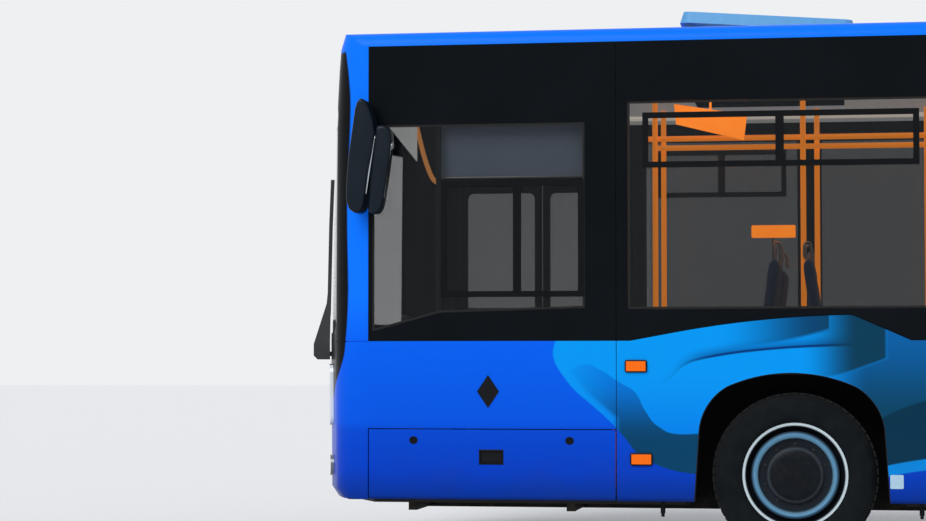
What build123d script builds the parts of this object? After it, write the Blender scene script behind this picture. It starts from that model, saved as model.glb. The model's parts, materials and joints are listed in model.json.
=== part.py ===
"""A 12 m low-floor city bus, in millimetres.

X runs from the nose (-X) to the tail (+X), +Y is the kerb side with the doors, and Z is up.
The origin is on the ground, under the middle of the bus.
"""

import os
from math import asin, cos, pi, radians, sin, tan

from build123d import *

os.makedirs("parts", exist_ok=True)

# Overall sizes, and the main stations along the bus as distances from the axles
length = 12000.0
width = 2500.0
front_overhang = 2870.0
wheelbase = 5900.0
mask_to_axle = 2459.0
cab_to_axle = 1010.0
bulkhead_to_axle = 2060.0
rear_mask_l = 300.0

# Heights above the ground
skirt_z = 320.0
flap_top_z = 730.0
belt_z = 1235.0
window_z = 1417.0
window_top_z = 2612.0
cant_z = 2960.0
shoulder_z = 3045.0
crown_z = 3100.0
ceiling_z = 2720.0
floor_z = 350.0
cab_floor_z = 640.0
deck_z = 1050.0

# Walls and gaps
wall = 60.0
mask_wall = 50.0
roof_wall = 40.0
sheet = 20.0
floor_thick = 50.0
panel_gap = 4.0
swing_gap = 6.0
seat_gap = 0.3
run_clear = 0.3
glass_thick = 6.0
glass_inset = 6.0

# Wheels
tyre_r = 470.0
tyre_half_w = 137.0
rim_r = 286.0
flange_r = 300.0
front_track = 2104.0
twin_centre_y = 920.0
twin_half_gap = 155.0

# Doors
front_door_to_axle = 1745.0
middle_door_to_axle = 3030.0
doorway_w = 1250.0
doorway_top_z = 2370.0
lip = 5.0

half_l = length / 2
side = width / 2
inner = side - wall
nose_x = -half_l
tail_x = half_l
front_axle = nose_x + front_overhang
rear_axle = front_axle + wheelbase
axles = (front_axle, rear_axle)
front_seam = front_axle - mask_to_axle
cab_seam = front_axle - cab_to_axle
rear_seam = tail_x - rear_mask_l
engine_x = rear_axle + bulkhead_to_axle
hub_z = tyre_r
tyre_track_y = front_track / 2


def block(x, y, z, mode=Mode.ADD):
    """A box between two values on each axis, in the part that is being built."""
    with Locations(((x[0] + x[1]) / 2, (y[0] + y[1]) / 2, (z[0] + z[1]) / 2)):
        Box(abs(x[1] - x[0]), abs(y[1] - y[0]), abs(z[1] - z[0]), mode=mode)


def side_plane(y):
    """The upright plane along the bus at y: sketch x is X, sketch y is Z, and it extrudes towards -Y."""
    return Plane.XZ.offset(-y)


def across_plane(x):
    """The upright plane across the bus at x: sketch x is Y, sketch y is Z, and it extrudes towards +X."""
    return Plane.YZ.offset(x)


def save(builder, name):
    """Labels a finished piece and writes its file."""
    builder.part.label = name
    export_step(builder.part, f"parts/{name}.step")


# Body ends. Each row of a table is one level: height, set-back of the middle from the very end of the
# bus, how far the bowed face falls back towards the sides, and radius of the corner in plan.
front_rows = (
    (skirt_z, 45, 240, 172),
    (skirt_z + 55, 8, 240, 225),
    (belt_z, 0, 240, 236),
    (1950, 20, 217, 232),
    (2500, 48, 185, 224),
    (2830, 98, 140, 205),
    (cant_z, 132, 108, 188),
    (shoulder_z, 180, 84, 150),
    (crown_z + 10, 270, 82, 60),
)
rear_rows = (
    (skirt_z, 50, 65, 120),
    (skirt_z + 60, 0, 65, 150),
    (1300, 0, 65, 150),
    (1420, 30, 65, 150),
    (cant_z, 60, 65, 160),
    (crown_z + 10, 140, 65, 90),
)


def bow_radius(fall):
    """Radius of a face that falls back by that much between the middle and the side."""
    return (side**2 + fall**2) / (2 * fall)


def end_outline(sign, seam, set_back, fall, corner_r, inset):
    """The plan outline of one body end at one level, pulled in by inset on every side."""
    bow_r = bow_radius(fall)
    bow_x = half_l - set_back - bow_r
    corner_reach = abs(seam) + 1 - bow_x
    widest_corner_r = (bow_r**2 - side**2 - corner_reach**2) / (2 * (bow_r - side))
    corner_r = min(corner_r, widest_corner_r)
    corner_x = bow_x + ((bow_r - corner_r) ** 2 - (side - corner_r) ** 2) ** 0.5
    slope = asin((side - corner_r) / (bow_r - corner_r))
    x_join = bow_x + (bow_r - inset) * cos(slope)
    y_join = (bow_r - inset) * sin(slope)
    half_turn = (pi / 2 + slope) / 2
    x_half = corner_x + (corner_r - inset) * cos(half_turn)
    y_half = side - corner_r + (corner_r - inset) * sin(half_turn)
    x_mid = half_l - set_back - inset
    x_back, y_side = abs(seam), side - inset
    with BuildLine() as outline:
        Polyline(
            (sign * corner_x, y_side),
            (sign * x_back, y_side),
            (sign * x_back, -y_side),
            (sign * corner_x, -y_side),
        )
        ThreePointArc((sign * corner_x, y_side), (sign * x_half, y_half), (sign * x_join, y_join))
        ThreePointArc((sign * x_join, y_join), (sign * x_mid, 0), (sign * x_join, -y_join))
        ThreePointArc((sign * x_join, -y_join), (sign * x_half, -y_half), (sign * corner_x, -y_side))
    make_face(outline.line)


def end_solid(rows, sign, seam, inset):
    """The solid shape of one body end, pulled in by inset."""
    with BuildPart() as shape:
        for z, set_back, fall, corner_r in rows:
            with BuildSketch(Plane.XY.offset(z)):
                end_outline(sign, seam, set_back, fall, corner_r, inset)
        loft(ruled=True)
    return shape.part


def end_shell(rows, sign, seam, insets, prism):
    """The skin of a body end between two insets, kept where it lies inside a prism."""
    with BuildPart() as shell:
        add(end_solid(rows, sign, seam, insets[0]))
        add(end_solid(rows, sign, seam, insets[1]), mode=Mode.SUBTRACT)
        add(prism, mode=Mode.INTERSECT)
    return shell.part


roof_edge_in = 100.0
roof_edge_mid = (27.0, 61.0)


def roof_section(x, inset, low):
    """The cross-section of body and roof at x, from the height low up to the crown, pulled in by inset."""
    y_side = side - inset
    y_edge = y_side - roof_edge_in
    z_edge = shoulder_z - inset
    z_mid = cant_z + roof_edge_mid[1] - inset / 2
    with BuildSketch(across_plane(x)) as section:
        with BuildLine():
            Polyline((y_side, cant_z), (y_side, low), (-y_side, low), (-y_side, cant_z))
            for hand in (-1, 1):
                middle = (hand * (y_side - roof_edge_mid[0]), z_mid)
                ThreePointArc((hand * y_side, cant_z), middle, (hand * y_edge, z_edge))
            ThreePointArc((-y_edge, z_edge), (0, crown_z - inset), (y_edge, z_edge))
        make_face()
    return section.sketch


def body_end(rows, sign, seam, inset):
    """A body end cut to the roof's section."""
    with BuildPart() as shape:
        add(end_solid(rows, sign, seam, inset))
        x0 = min(sign * half_l, seam)
        section = roof_section(x0 - 10, inset, skirt_z - 50)
        extrude(section, amount=abs(sign * half_l - seam) + 20, mode=Mode.INTERSECT)
    return shape.part


def opening(x, y_half, z, radius, clear=0.0, y_mid=0.0):
    """A rounded prism along X between two values of x: half width, heights and corner radius."""
    with BuildPart() as prism:
        with BuildSketch(across_plane(x[0])):
            with Locations((y_mid, (z[0] + z[1]) / 2)):
                RectangleRounded(2 * (y_half - clear), z[1] - z[0] - 2 * clear, radius)
        extrude(amount=x[1] - x[0])
    return prism.part


# Front mask: bumper and corner posts in one shell, open for the windscreen, the lamps and the grille
nose = (nose_x - 150, nose_x + 330)
screen_half_w = 1125.0
screen_z = (1290.0, 2640.0)
screen_corner = 90.0
grille_half_w = 450.0
grille_z = (400.0, 600.0)
grille_corner = 40.0
groove = 5.0

# Lamp openings. Columns: middle y, half width, heights, corner radius.
lamps = ((845.0, 130.0, (740.0, 1105.0), 60.0), (905.0, 62.0, (440.0, 564.0), 58.0))
lamp_proud = 18.0
lamp_depth = 42.0


# Wiper spindles. Columns: y, and how far the arm's foot stands off the mask.
wiper_rows = ((-720.0, 104.0), (90.0, 58.0))
wiper_z = 1165.0
spindle_r = 14.0
with BuildPart() as front_mask:
    add(body_end(front_rows, -1, front_seam, 0))
    add(body_end(front_rows, -1, front_seam, mask_wall), mode=Mode.SUBTRACT)
    add(opening(nose, screen_half_w, screen_z, screen_corner), mode=Mode.SUBTRACT)
    add(opening(nose, grille_half_w, grille_z, grille_corner), mode=Mode.SUBTRACT)
    for y, half_w, z, corner in lamps:
        for hand in (-1, 1):
            add(opening(nose, half_w, z, corner, y_mid=hand * y), mode=Mode.SUBTRACT)
    with BuildSketch(across_plane(nose[0])):
        with Locations(*[(y, wiper_z) for y, foot in wiper_rows]):
            Circle(spindle_r + seat_gap)
    extrude(amount=nose[1] - nose[0], mode=Mode.SUBTRACT)
    post_y = (side + screen_half_w) / 2
    for hand in (-1, 1):
        band = opening(
            (nose[0], front_seam),
            side - post_y + groove,
            (belt_z - groove / 2, belt_z + groove / 2),
            groove / 4,
            y_mid=hand * (post_y + groove),
        )
        add(end_shell(front_rows, -1, front_seam, (-groove, groove), band), mode=Mode.SUBTRACT)
save(front_mask, "front_mask")

with BuildPart() as windscreen:
    screen = opening(nose, screen_half_w, screen_z, screen_corner, clear=seat_gap)
    add(end_shell(front_rows, -1, front_seam, (panel_gap, panel_gap + 8), screen))
save(windscreen, "windscreen")

# Head and fog lamps: lens blocks that stand a little proud of the mask
with BuildPart() as headlamps:
    for y, half_w, z, corner in lamps:
        for hand in (-1, 1):
            lens = opening(nose, half_w, z, corner - 1, clear=seat_gap, y_mid=hand * y)
            add(end_shell(front_rows, -1, front_seam, (-lamp_proud, lamp_depth), lens))
save(headlamps, "headlamps")

# Bumper grille: a slotted plate that fills its opening
slot_h = 22.0
slot_rows = 5
with BuildPart() as front_grille:
    plate = opening(nose, grille_half_w, grille_z, grille_corner - 1, clear=seat_gap)
    add(end_shell(front_rows, -1, front_seam, (8, 30), plate))
    with BuildSketch(across_plane(nose[0])):
        with Locations((0, (grille_z[0] + grille_z[1]) / 2)):
            with GridLocations(grille_half_w - 10, 34, 2, slot_rows):
                RectangleRounded(grille_half_w - 40, slot_h, slot_h / 2 - 1)
    extrude(amount=nose[1] - nose[0], mode=Mode.SUBTRACT)
save(front_grille, "front_grille")

# Rear mask, open for the window, the engine lid and the tail lamps, with the lid's two hinge lugs
tail = (tail_x - 330, tail_x + 50)
rear_glass_half_w = 900.0
rear_glass_z = (1750.0, 2560.0)
rear_glass_corner = 80.0
lid_half_w = 860.0
lid_z = (470.0, 1290.0)
lid_gap = 8.0
lid_drop = 16.0
lid_thick = 34.0
lid_hinges_y = (-560.0, 560.0)
hinge_half_w = 24.0
hinge_pin_r = 5.0
hinge_pin_half = 50.0
lug_half = 9.0
lid_axis = (tail_x - 15, lid_z[1] - lid_drop - 6)
tail_lamp_y = 1010.0
tail_lamp_half_w = 62.0
tail_lamp_z = (620.0, 1120.0)
tail_lamp_corner = 40.0
tail_lamp_proud = 6.0

with BuildPart() as rear_mask:
    add(body_end(rear_rows, 1, rear_seam, 0))
    add(body_end(rear_rows, 1, rear_seam, mask_wall), mode=Mode.SUBTRACT)
    add(opening(tail, rear_glass_half_w, rear_glass_z, rear_glass_corner), mode=Mode.SUBTRACT)
    add(opening(tail, lid_half_w, lid_z, 30), mode=Mode.SUBTRACT)
    for hand in (-1, 1):
        lamp_cut = opening(tail, tail_lamp_half_w, tail_lamp_z, tail_lamp_corner, y_mid=hand * tail_lamp_y)
        add(lamp_cut, mode=Mode.SUBTRACT)
    for y in lid_hinges_y:
        lug_x = (lid_axis[0] - lug_half, lid_axis[0] + lug_half)
        block(lug_x, (y - hinge_half_w, y + hinge_half_w), (lid_axis[1] - lug_half, lid_z[1] + 5))
        with BuildSketch(side_plane(y + hinge_pin_half)):
            with Locations(lid_axis):
                Circle(hinge_pin_r)
        extrude(amount=2 * hinge_pin_half)
save(rear_mask, "rear_mask")

with BuildPart() as tail_lamps:
    for hand in (-1, 1):
        lens = opening(
            tail,
            tail_lamp_half_w,
            tail_lamp_z,
            tail_lamp_corner - 1,
            clear=seat_gap,
            y_mid=hand * tail_lamp_y,
        )
        add(end_shell(rear_rows, 1, rear_seam, (-tail_lamp_proud, lamp_depth), lens))
save(tail_lamps, "tail_lamps")

# Engine lid: hangs on two pins along its top edge, with a field of cooling louvres
louvre_w = 540.0
louvre_h = 22.0
louvre_mid_z = 900.0
with BuildPart() as engine_lid:
    lid_shape = opening(tail, lid_half_w - lid_gap, (lid_z[0] + lid_gap, lid_z[1] - lid_drop), 24)
    add(end_shell(rear_rows, 1, rear_seam, (0, lid_thick), lid_shape))
    with BuildSketch(across_plane(tail[0])):
        with Locations((0, louvre_mid_z)):
            with GridLocations(louvre_w + 80, louvre_h + 30, 2, 8):
                RectangleRounded(louvre_w, louvre_h, 8)
    extrude(amount=tail[1] - tail[0], mode=Mode.SUBTRACT)
    for y in lid_hinges_y:
        notch_y = (y - hinge_half_w - swing_gap, y + hinge_half_w + swing_gap)
        block(tail, notch_y, (lid_axis[1] - 30, lid_z[1]), mode=Mode.SUBTRACT)
        with BuildSketch(side_plane(y + hinge_pin_half + 10)):
            with Locations(lid_axis):
                Circle(hinge_pin_r + run_clear)
        extrude(amount=2 * hinge_pin_half + 20, mode=Mode.SUBTRACT)
save(engine_lid, "engine_lid")

# Roof: one arched skin between the two masks, with a raised rim and hinge lugs for the hatch
hatch_to_axle = 701.0
hatch_l = 1057.0
hatch_half_w = 420.0
hatch_rise = 70.0
hatch_skin = 16.0
hatch_taper = 14.0
hatch_open_deg = 4.2
rim_in = 40.0
rim_w = 25.0
hatch_hinges_y = (-250.0, 250.0)
lug_gap = 28.0
lug_w = 12.0
lug_r = 12.0
hatch_z = crown_z + 4
hatch_front_x = front_axle - hatch_to_axle
hatch_x = hatch_front_x + hatch_l / 2
hatch_axis = (hatch_front_x + hatch_l + 14, hatch_z + 12)
rim_half = (hatch_l / 2 - rim_in, hatch_half_w - rim_in)
hole_x = (hatch_x - rim_half[0] + rim_w, hatch_x + rim_half[0] - rim_w)
hole_y = (rim_w - rim_half[1], rim_half[1] - rim_w)
rim_z = (crown_z - roof_wall - 4, hatch_z + 12)

with BuildPart() as roof:
    extrude(roof_section(front_seam, 0, cant_z - 50), amount=rear_seam - front_seam)
    extrude(
        roof_section(front_seam, roof_wall, cant_z - 60),
        amount=rear_seam - front_seam,
        mode=Mode.SUBTRACT,
    )
    block((front_seam, rear_seam), (-side, side), (cant_z - 60, cant_z), mode=Mode.SUBTRACT)
    with BuildSketch(Plane.XY.offset(rim_z[0])):
        with Locations((hatch_x, 0)):
            RectangleRounded(2 * rim_half[0], 2 * rim_half[1], 44)
    extrude(amount=rim_z[1] - rim_z[0])
    for y in hatch_hinges_y:
        for hand in (-1, 1):
            with BuildSketch(side_plane(y + hand * (lug_gap + lug_w / 2) + lug_w / 2)):
                with Locations(hatch_axis):
                    Circle(lug_r)
                with Locations((hatch_axis[0], hatch_axis[1] - 20)):
                    Rectangle(2 * lug_r, 40)
            extrude(amount=lug_w)
        with BuildSketch(side_plane(y + lug_gap + lug_w / 2)):
            with Locations(hatch_axis):
                Circle(hinge_pin_r)
        extrude(amount=2 * lug_gap + lug_w)
    block(hole_x, hole_y, (cant_z - 60, hatch_z + 100), mode=Mode.SUBTRACT)
save(roof, "roof")

with BuildPart() as roof_hatch:
    with BuildSketch(Plane.XY.offset(hatch_z)):
        with Locations((hatch_x, 0)):
            RectangleRounded(hatch_l, 2 * hatch_half_w, 70)
    extrude(amount=hatch_rise, taper=hatch_taper)
    with BuildSketch(Plane.XY.offset(hatch_z)):
        with Locations((hatch_x, 0)):
            RectangleRounded(hatch_l - 56, 2 * hatch_half_w - 56, 46)
    extrude(amount=hatch_rise - hatch_skin, taper=hatch_taper, mode=Mode.SUBTRACT)
    for y in hatch_hinges_y:
        with BuildSketch(side_plane(y + lug_gap - 8)):
            with Locations(hatch_axis):
                Circle(lug_r - 1)
            with Locations((hatch_axis[0] - lug_r, hatch_axis[1])):
                Rectangle(2 * lug_r, 16)
        extrude(amount=2 * (lug_gap - 8))
        with BuildSketch(side_plane(y + lug_gap - 8)):
            with Locations(hatch_axis):
                Circle(hinge_pin_r + run_clear)
        extrude(amount=2 * (lug_gap - 8), mode=Mode.SUBTRACT)
hinge_line = Axis((hatch_axis[0], 0, hatch_axis[1]), (0, 1, 0))
roof_hatch.part = roof_hatch.part.rotate(hinge_line, hatch_open_deg)
save(roof_hatch, "roof_hatch")

# Side windows. A pane is its clear opening: from x, to x.
post = 68.0
first_pane_end = 793.0
first_pane = (cab_seam + post, front_axle + first_pane_end)
last_pane_x = engine_x - 60
left_pitch = (last_pane_x - first_pane[1] - post) / 4
left_seams = [first_pane[1] + post + i * left_pitch for i in range(5)]
left_panes = [first_pane] + [(x + post, x + left_pitch - post) for x in left_seams[:-1]]
cab_window = (
    (front_seam + 23, 1292),
    (front_axle - 2034, 1400),
    (front_axle - 1190, 1424),
    (front_axle - 1190, 2497),
    (front_seam + 23, 2497),
)
doorways = {"front": front_axle - front_door_to_axle, "middle": front_axle + middle_door_to_axle}
doorway_edges = [(x - doorway_w / 2, x + doorway_w / 2) for x in doorways.values()]
right_spans = [
    (front_seam, doorway_edges[0][0]),
    (doorway_edges[0][1], doorway_edges[1][0]),
    (doorway_edges[1][1], rear_seam),
]


def equal_panes(x0, x1, count):
    """Equal panes between two end posts."""
    pitch = (x1 - x0) / count
    return [(x0 + i * pitch + post, x0 + (i + 1) * pitch - post) for i in range(count)]


right_panes = equal_panes(*right_spans[1], 3) + equal_panes(right_spans[2][0], last_pane_x, 3)


def pane_outline(pane, clear=0.0):
    """One pane's outline, drawn in the sketch that is open."""
    with Locations(((pane[0] + pane[1]) / 2, (window_z + window_top_z) / 2)):
        RectangleRounded(pane[1] - pane[0] - 2 * clear, window_top_z - window_z - 2 * clear, 12)


# Raised edge of the panel over the front wheel, as places behind the axle and heights above the belt
hump_foot_x = -930.0
hump_rise = (-626.0, 56.0)
hump_mid = (-155.0, 119.0)
hump_top = (288.0, 144.0)
hump_turn = (322.0, 143.0)
hump_fall = (352.0, 133.0)
hump_end_x = 655.0


def hump_outline(clear=0.0, mode=Mode.ADD):
    """The raised edge over the front wheel, from just under the belt line up."""

    def at(place):
        return (front_axle + place[0], belt_z + place[1] + clear)

    end_x = front_axle + hump_end_x + clear
    with BuildLine() as outline:
        Polyline(
            (end_x, belt_z - 5),
            (front_axle + hump_foot_x, belt_z - 5),
            (front_axle + hump_foot_x, belt_z + clear),
            at(hump_rise),
        )
        ThreePointArc(at(hump_rise), at(hump_mid), at(hump_top))
        ThreePointArc(at(hump_top), at(hump_turn), at(hump_fall))
        Line(at(hump_fall), (end_x, belt_z + clear))
        Line((end_x, belt_z + clear), (end_x, belt_z - 5))
    make_face(outline.line, mode=mode)


# Wheel arch: nearly straight legs, tight shoulders and a flat top. Each pair is how far the edge stands
# outside the tyre's radius along the bus, and how far it stands above the top of the tyre.
arch_shift = -18.0
arch_foot = 82.0
arch_leg = (55.0, -240.0)
arch_turn = (-7.0, -56.0)
arch_shoulder = (-108.0, 35.0)
arch_crown = 113.0


def arch_outline(axle_x, mode=Mode.ADD):
    """The wheel arch in a side panel."""
    x = axle_x + arch_shift
    low = skirt_z - 20
    top = hub_z + tyre_r

    def at(hand, place):
        return (x + hand * (tyre_r + place[0]), top + place[1])

    with BuildLine() as outline:
        Polyline(
            at(-1, arch_leg),
            (x - tyre_r - arch_foot, low),
            (x + tyre_r + arch_foot, low),
            at(1, arch_leg),
        )
        for hand in (-1, 1):
            ThreePointArc(at(hand, arch_leg), at(hand, arch_turn), at(hand, arch_shoulder))
        ThreePointArc(at(-1, arch_shoulder), (x, top + arch_crown), at(1, arch_shoulder))
    make_face(outline.line, mode=mode)


# Left side above the belt line: posts and cant rail around the windows
with BuildPart() as left_wall:
    with BuildSketch(side_plane(-side)):
        with Locations(((front_seam + rear_seam) / 2, (belt_z + cant_z) / 2)):
            Rectangle(rear_seam - front_seam, cant_z - belt_z)
        hump_outline(panel_gap, mode=Mode.SUBTRACT)
        with BuildSketch(mode=Mode.SUBTRACT):
            Polygon(*cab_window, align=None)
        for pane in left_panes:
            with BuildSketch(mode=Mode.SUBTRACT):
                pane_outline(pane)
    extrude(amount=-wall)
    for x in [cab_seam] + left_seams:
        joint_x = (x - panel_gap / 2, x + panel_gap / 2)
        block(joint_x, (-side - 1, -inner + 1), (belt_z - 5, cant_z + 5), mode=Mode.SUBTRACT)
save(left_wall, "left_wall")

# Glass of both sides and the back
with BuildPart() as windows:
    with BuildSketch(side_plane(-side + glass_inset)):
        with BuildSketch():
            Polygon(*cab_window, align=None)
            offset(amount=-seat_gap, kind=Kind.INTERSECTION)
        for pane in left_panes:
            pane_outline(pane, clear=seat_gap)
    extrude(amount=-glass_thick)
    with BuildSketch(side_plane(side - glass_inset)):
        for pane in right_panes:
            pane_outline(pane, clear=seat_gap)
    extrude(amount=glass_thick)
    rear_pane = opening(tail, rear_glass_half_w, rear_glass_z, rear_glass_corner, clear=seat_gap)
    add(end_shell(rear_rows, 1, rear_seam, (panel_gap, panel_gap + 8), rear_pane))
save(windows, "windows")

# Vent frames: the sliding sashes that sit on every other pane, in line with the outside
bar = 34.0
mullion_w = 48.0
vent_in = 86.0
vent_z = (2228.0, 2546.0)
cab_vent_x = (front_axle - 2030, front_axle - 1195)
cab_vent_z = (1490.0, 2166.0)
cab_mullion_x = front_axle - 1583
vent_rows = [(-1, p) for p in left_panes[::2]] + [(1, p) for p in right_panes[::2]]


def vent_frame(x, z, mullion):
    """A flat frame with one mullion, drawn in the sketch that is open."""
    with Locations(((x[0] + x[1]) / 2, (z[0] + z[1]) / 2)):
        Rectangle(x[1] - x[0], z[1] - z[0])
        Rectangle(x[1] - x[0] - 2 * bar, z[1] - z[0] - 2 * bar, mode=Mode.SUBTRACT)
    with Locations((mullion, (z[0] + z[1]) / 2)):
        Rectangle(mullion_w, z[1] - z[0])


with BuildPart() as vent_frames:
    for hand, pane in vent_rows:
        y = side if hand > 0 else -side + glass_inset
        with BuildSketch(side_plane(y)):
            vent_frame((pane[0] + vent_in, pane[1] - vent_in), vent_z, (pane[0] + pane[1]) / 2)
        extrude(amount=glass_inset)
    with BuildSketch(side_plane(-side + glass_inset)):
        vent_frame(cab_vent_x, cab_vent_z, cab_mullion_x)
    extrude(amount=glass_inset)
save(vent_frames, "vent_frames")

# Left side below the belt line, with both arches, the service flap's opening and the engine's louvres
skirt_seams = [
    cab_seam,
    front_axle + 960,
    front_axle + 2490,
    rear_axle - 1870,
    rear_axle - 860,
    rear_axle + 860,
]
flap_x = (front_seam + swing_gap, cab_seam - swing_gap)
side_louvre_w = 600.0
side_louvre_z = 800.0
with BuildPart() as left_skirt:
    with BuildSketch(side_plane(-side)):
        with Locations(((front_seam + rear_seam) / 2, (skirt_z + belt_z) / 2)):
            Rectangle(rear_seam - front_seam, belt_z - skirt_z)
        hump_outline()
        for axle_x in axles:
            arch_outline(axle_x, mode=Mode.SUBTRACT)
        with Locations(((engine_x + rear_seam) / 2 + 30, side_louvre_z)):
            with GridLocations(0, 62, 1, 10):
                RectangleRounded(side_louvre_w, 24, 10, mode=Mode.SUBTRACT)
    extrude(amount=-wall)
    outer_y = (-side - 1, -inner + 1)
    block((front_seam - 1, cab_seam), outer_y, (skirt_z - 1, flap_top_z), mode=Mode.SUBTRACT)
    for x in skirt_seams:
        joint_x = (x - panel_gap / 2, x + panel_gap / 2)
        block(joint_x, outer_y, (skirt_z - 5, window_z), mode=Mode.SUBTRACT)
save(left_skirt, "left_skirt")

# Service flap under the driver's window: hinged along its bottom edge, with two round locks and a grip
flap_thick = 36.0
lock_r = 17.0
lock_pitch = 910.0
lock_drop = 62.0
grip_half_w = 72.0
grip_z = (522.0, 610.0)
recess = 12.0
flap_z = (skirt_z + 2, flap_top_z - swing_gap)
flap_mid_x = (flap_x[0] + flap_x[1]) / 2
flap_skin = 10.0
flap_axis = (-side + 26, skirt_z + 16)
flap_hinges_x = (flap_mid_x - 450, flap_mid_x + 450)
with BuildPart() as service_flap:
    block(flap_x, (-side, -side + flap_thick), flap_z)
    lock_origin = (flap_mid_x, -side, flap_z[1] - lock_drop)
    with Locations(Plane(origin=lock_origin, x_dir=(1, 0, 0), z_dir=(0, -1, 0))):
        with GridLocations(lock_pitch, 0, 2, 1):
            Hole(lock_r, depth=recess)
    grip_x = (flap_mid_x - grip_half_w, flap_mid_x + grip_half_w)
    block(grip_x, (-side, -side + recess), grip_z, mode=Mode.SUBTRACT)
    for x in flap_hinges_x:
        notch_x = (x - hinge_half_w - swing_gap, x + hinge_half_w + swing_gap)
        notch_y = (-side + flap_skin, 1 - side + flap_thick)
        block(notch_x, notch_y, (skirt_z, flap_axis[1] + 20), mode=Mode.SUBTRACT)
        with BuildSketch(across_plane(x - hinge_pin_half - 10)):
            with Locations(flap_axis):
                Circle(hinge_pin_r + run_clear)
        extrude(amount=2 * hinge_pin_half + 20, mode=Mode.SUBTRACT)
save(service_flap, "service_flap")

# Kerb side: posts, and the panels over the doors
with BuildPart() as right_wall:
    block((front_seam, rear_seam), (inner, side), (belt_z, cant_z))
    for edges in doorway_edges:
        block(edges, (inner - 1, side + 1), (belt_z - 1, doorway_top_z), mode=Mode.SUBTRACT)
    with BuildSketch(side_plane(side)):
        for pane in right_panes:
            pane_outline(pane)
    extrude(amount=wall, mode=Mode.SUBTRACT)
save(right_wall, "right_wall")

# Kerb side below the belt line, between the doorways
with BuildPart() as right_skirt:
    for span in right_spans:
        block(span, (inner, side), (skirt_z, belt_z))
    with BuildSketch(side_plane(side)):
        for axle_x in axles:
            arch_outline(axle_x)
    extrude(amount=wall, mode=Mode.SUBTRACT)
    for x in (skirt_seams[1], skirt_seams[4]):
        joint_x = (x - panel_gap / 2, x + panel_gap / 2)
        block(joint_x, (inner - 1, side + 1), (skirt_z - 5, belt_z + 5), mode=Mode.SUBTRACT)
save(right_skirt, "right_skirt")

# Door surrounds: a thin rim on the outside of each doorway that laps over the leaves' edges
lip_in = 66.0
lip_low = 73.0
lip_top = 48.0
with BuildPart() as door_surrounds:
    for x0, x1 in doorway_edges:
        block((x0, x1), (side - lip, side), (skirt_z, doorway_top_z))
        hole_z = (skirt_z + lip_low, doorway_top_z - lip_top)
        block((x0 + lip_in, x1 - lip_in), (side - lip, side), hole_z, mode=Mode.SUBTRACT)
save(door_surrounds, "door_surrounds")

# Doors. Each leaf hangs on two arms of a turning column, and its leading edge is guided along the
# wall. The arm is as long as the way from its pin to the guide, so the leaf turns back by exactly
# twice the angle that the arm turns in, and ends square to the wall beside the column.
column_r = 20.0
column_set = 30.0
arm_reach = 330.0
arm_thick = 12.0
arm_gap = 11.0
pin_r = 9.0
pin_in = 42.0
leaf_thick = 36.0
leaf_rise = 35.0
leaf_drop = 40.0
leaf_stile = 48.0
leaf_bottom_rail = 110.0
leaf_top_rail = 62.0
leaf_window_corner = 40.0
leaf_in = column_r + 12
leaf_out = doorway_w / 2 - column_set - 4
leaf_z = (floor_z + leaf_rise, doorway_top_z - leaf_drop)
leaf_window_z = (leaf_z[0] + leaf_bottom_rail, leaf_z[1] - leaf_top_rail)
bolt_y = side - column_set


def door_column(x, hand):
    """Column, arms and pins at x. hand is +1 where the leaf lies towards the tail."""
    levels = ((leaf_z[0] - arm_gap - arm_thick, 1), (leaf_z[1] + arm_gap + 3, -1))
    with BuildPart() as column:
        with BuildSketch(Plane.XY.offset(floor_z + seat_gap)):
            with Locations((x, bolt_y)):
                Circle(column_r)
        extrude(amount=doorway_top_z - floor_z - 2 * seat_gap)
        for z, up in levels:
            with BuildSketch(Plane.XY.offset(z)):
                with Locations((x + hand * arm_reach / 2, bolt_y)):
                    SlotCenterToCenter(arm_reach, 2 * column_r)
            extrude(amount=arm_thick)
            pin_from = z if up > 0 else z + arm_thick
            with BuildSketch(Plane.XY.offset(pin_from)):
                with Locations((x + hand * arm_reach, bolt_y)):
                    Circle(pin_r)
            extrude(amount=up * (arm_thick + arm_gap + pin_in))
    return column


def leaf_pane(middle, leaf_w, clear):
    """The outline of a leaf's window, drawn in the sketch that is open."""
    with Locations((middle, (leaf_window_z[0] + leaf_window_z[1]) / 2)):
        RectangleRounded(
            leaf_w - 2 * leaf_stile - 2 * clear,
            leaf_window_z[1] - leaf_window_z[0] - 2 * clear,
            leaf_window_corner - clear,
        )


def door_leaf(x, hand):
    """The leaf's frame with its window cut and the two pin sockets."""
    middle = x + hand * (leaf_in + leaf_out) / 2
    leaf_w = leaf_out - leaf_in
    with BuildPart() as leaf:
        with BuildSketch(side_plane(bolt_y + leaf_thick / 2)):
            with Locations((middle, (leaf_z[0] + leaf_z[1]) / 2)):
                RectangleRounded(leaf_w, leaf_z[1] - leaf_z[0], 6)
            with BuildSketch(mode=Mode.SUBTRACT):
                leaf_pane(middle, leaf_w, 0)
        extrude(amount=leaf_thick)
        for z, up in ((leaf_z[0], 1), (leaf_z[1], -1)):
            with BuildSketch(Plane.XY.offset(z)):
                with Locations((x + hand * arm_reach, bolt_y)):
                    Circle(pin_r + run_clear)
            extrude(amount=up * (pin_in + 6), mode=Mode.SUBTRACT)
    return leaf


def door_glass(x, hand):
    """The pane in a leaf's window."""
    with BuildPart() as glass:
        with BuildSketch(side_plane(bolt_y + leaf_thick / 2 - glass_inset)):
            leaf_pane(x + hand * (leaf_in + leaf_out) / 2, leaf_out - leaf_in, seat_gap)
        extrude(amount=glass_thick)
    return glass


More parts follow.
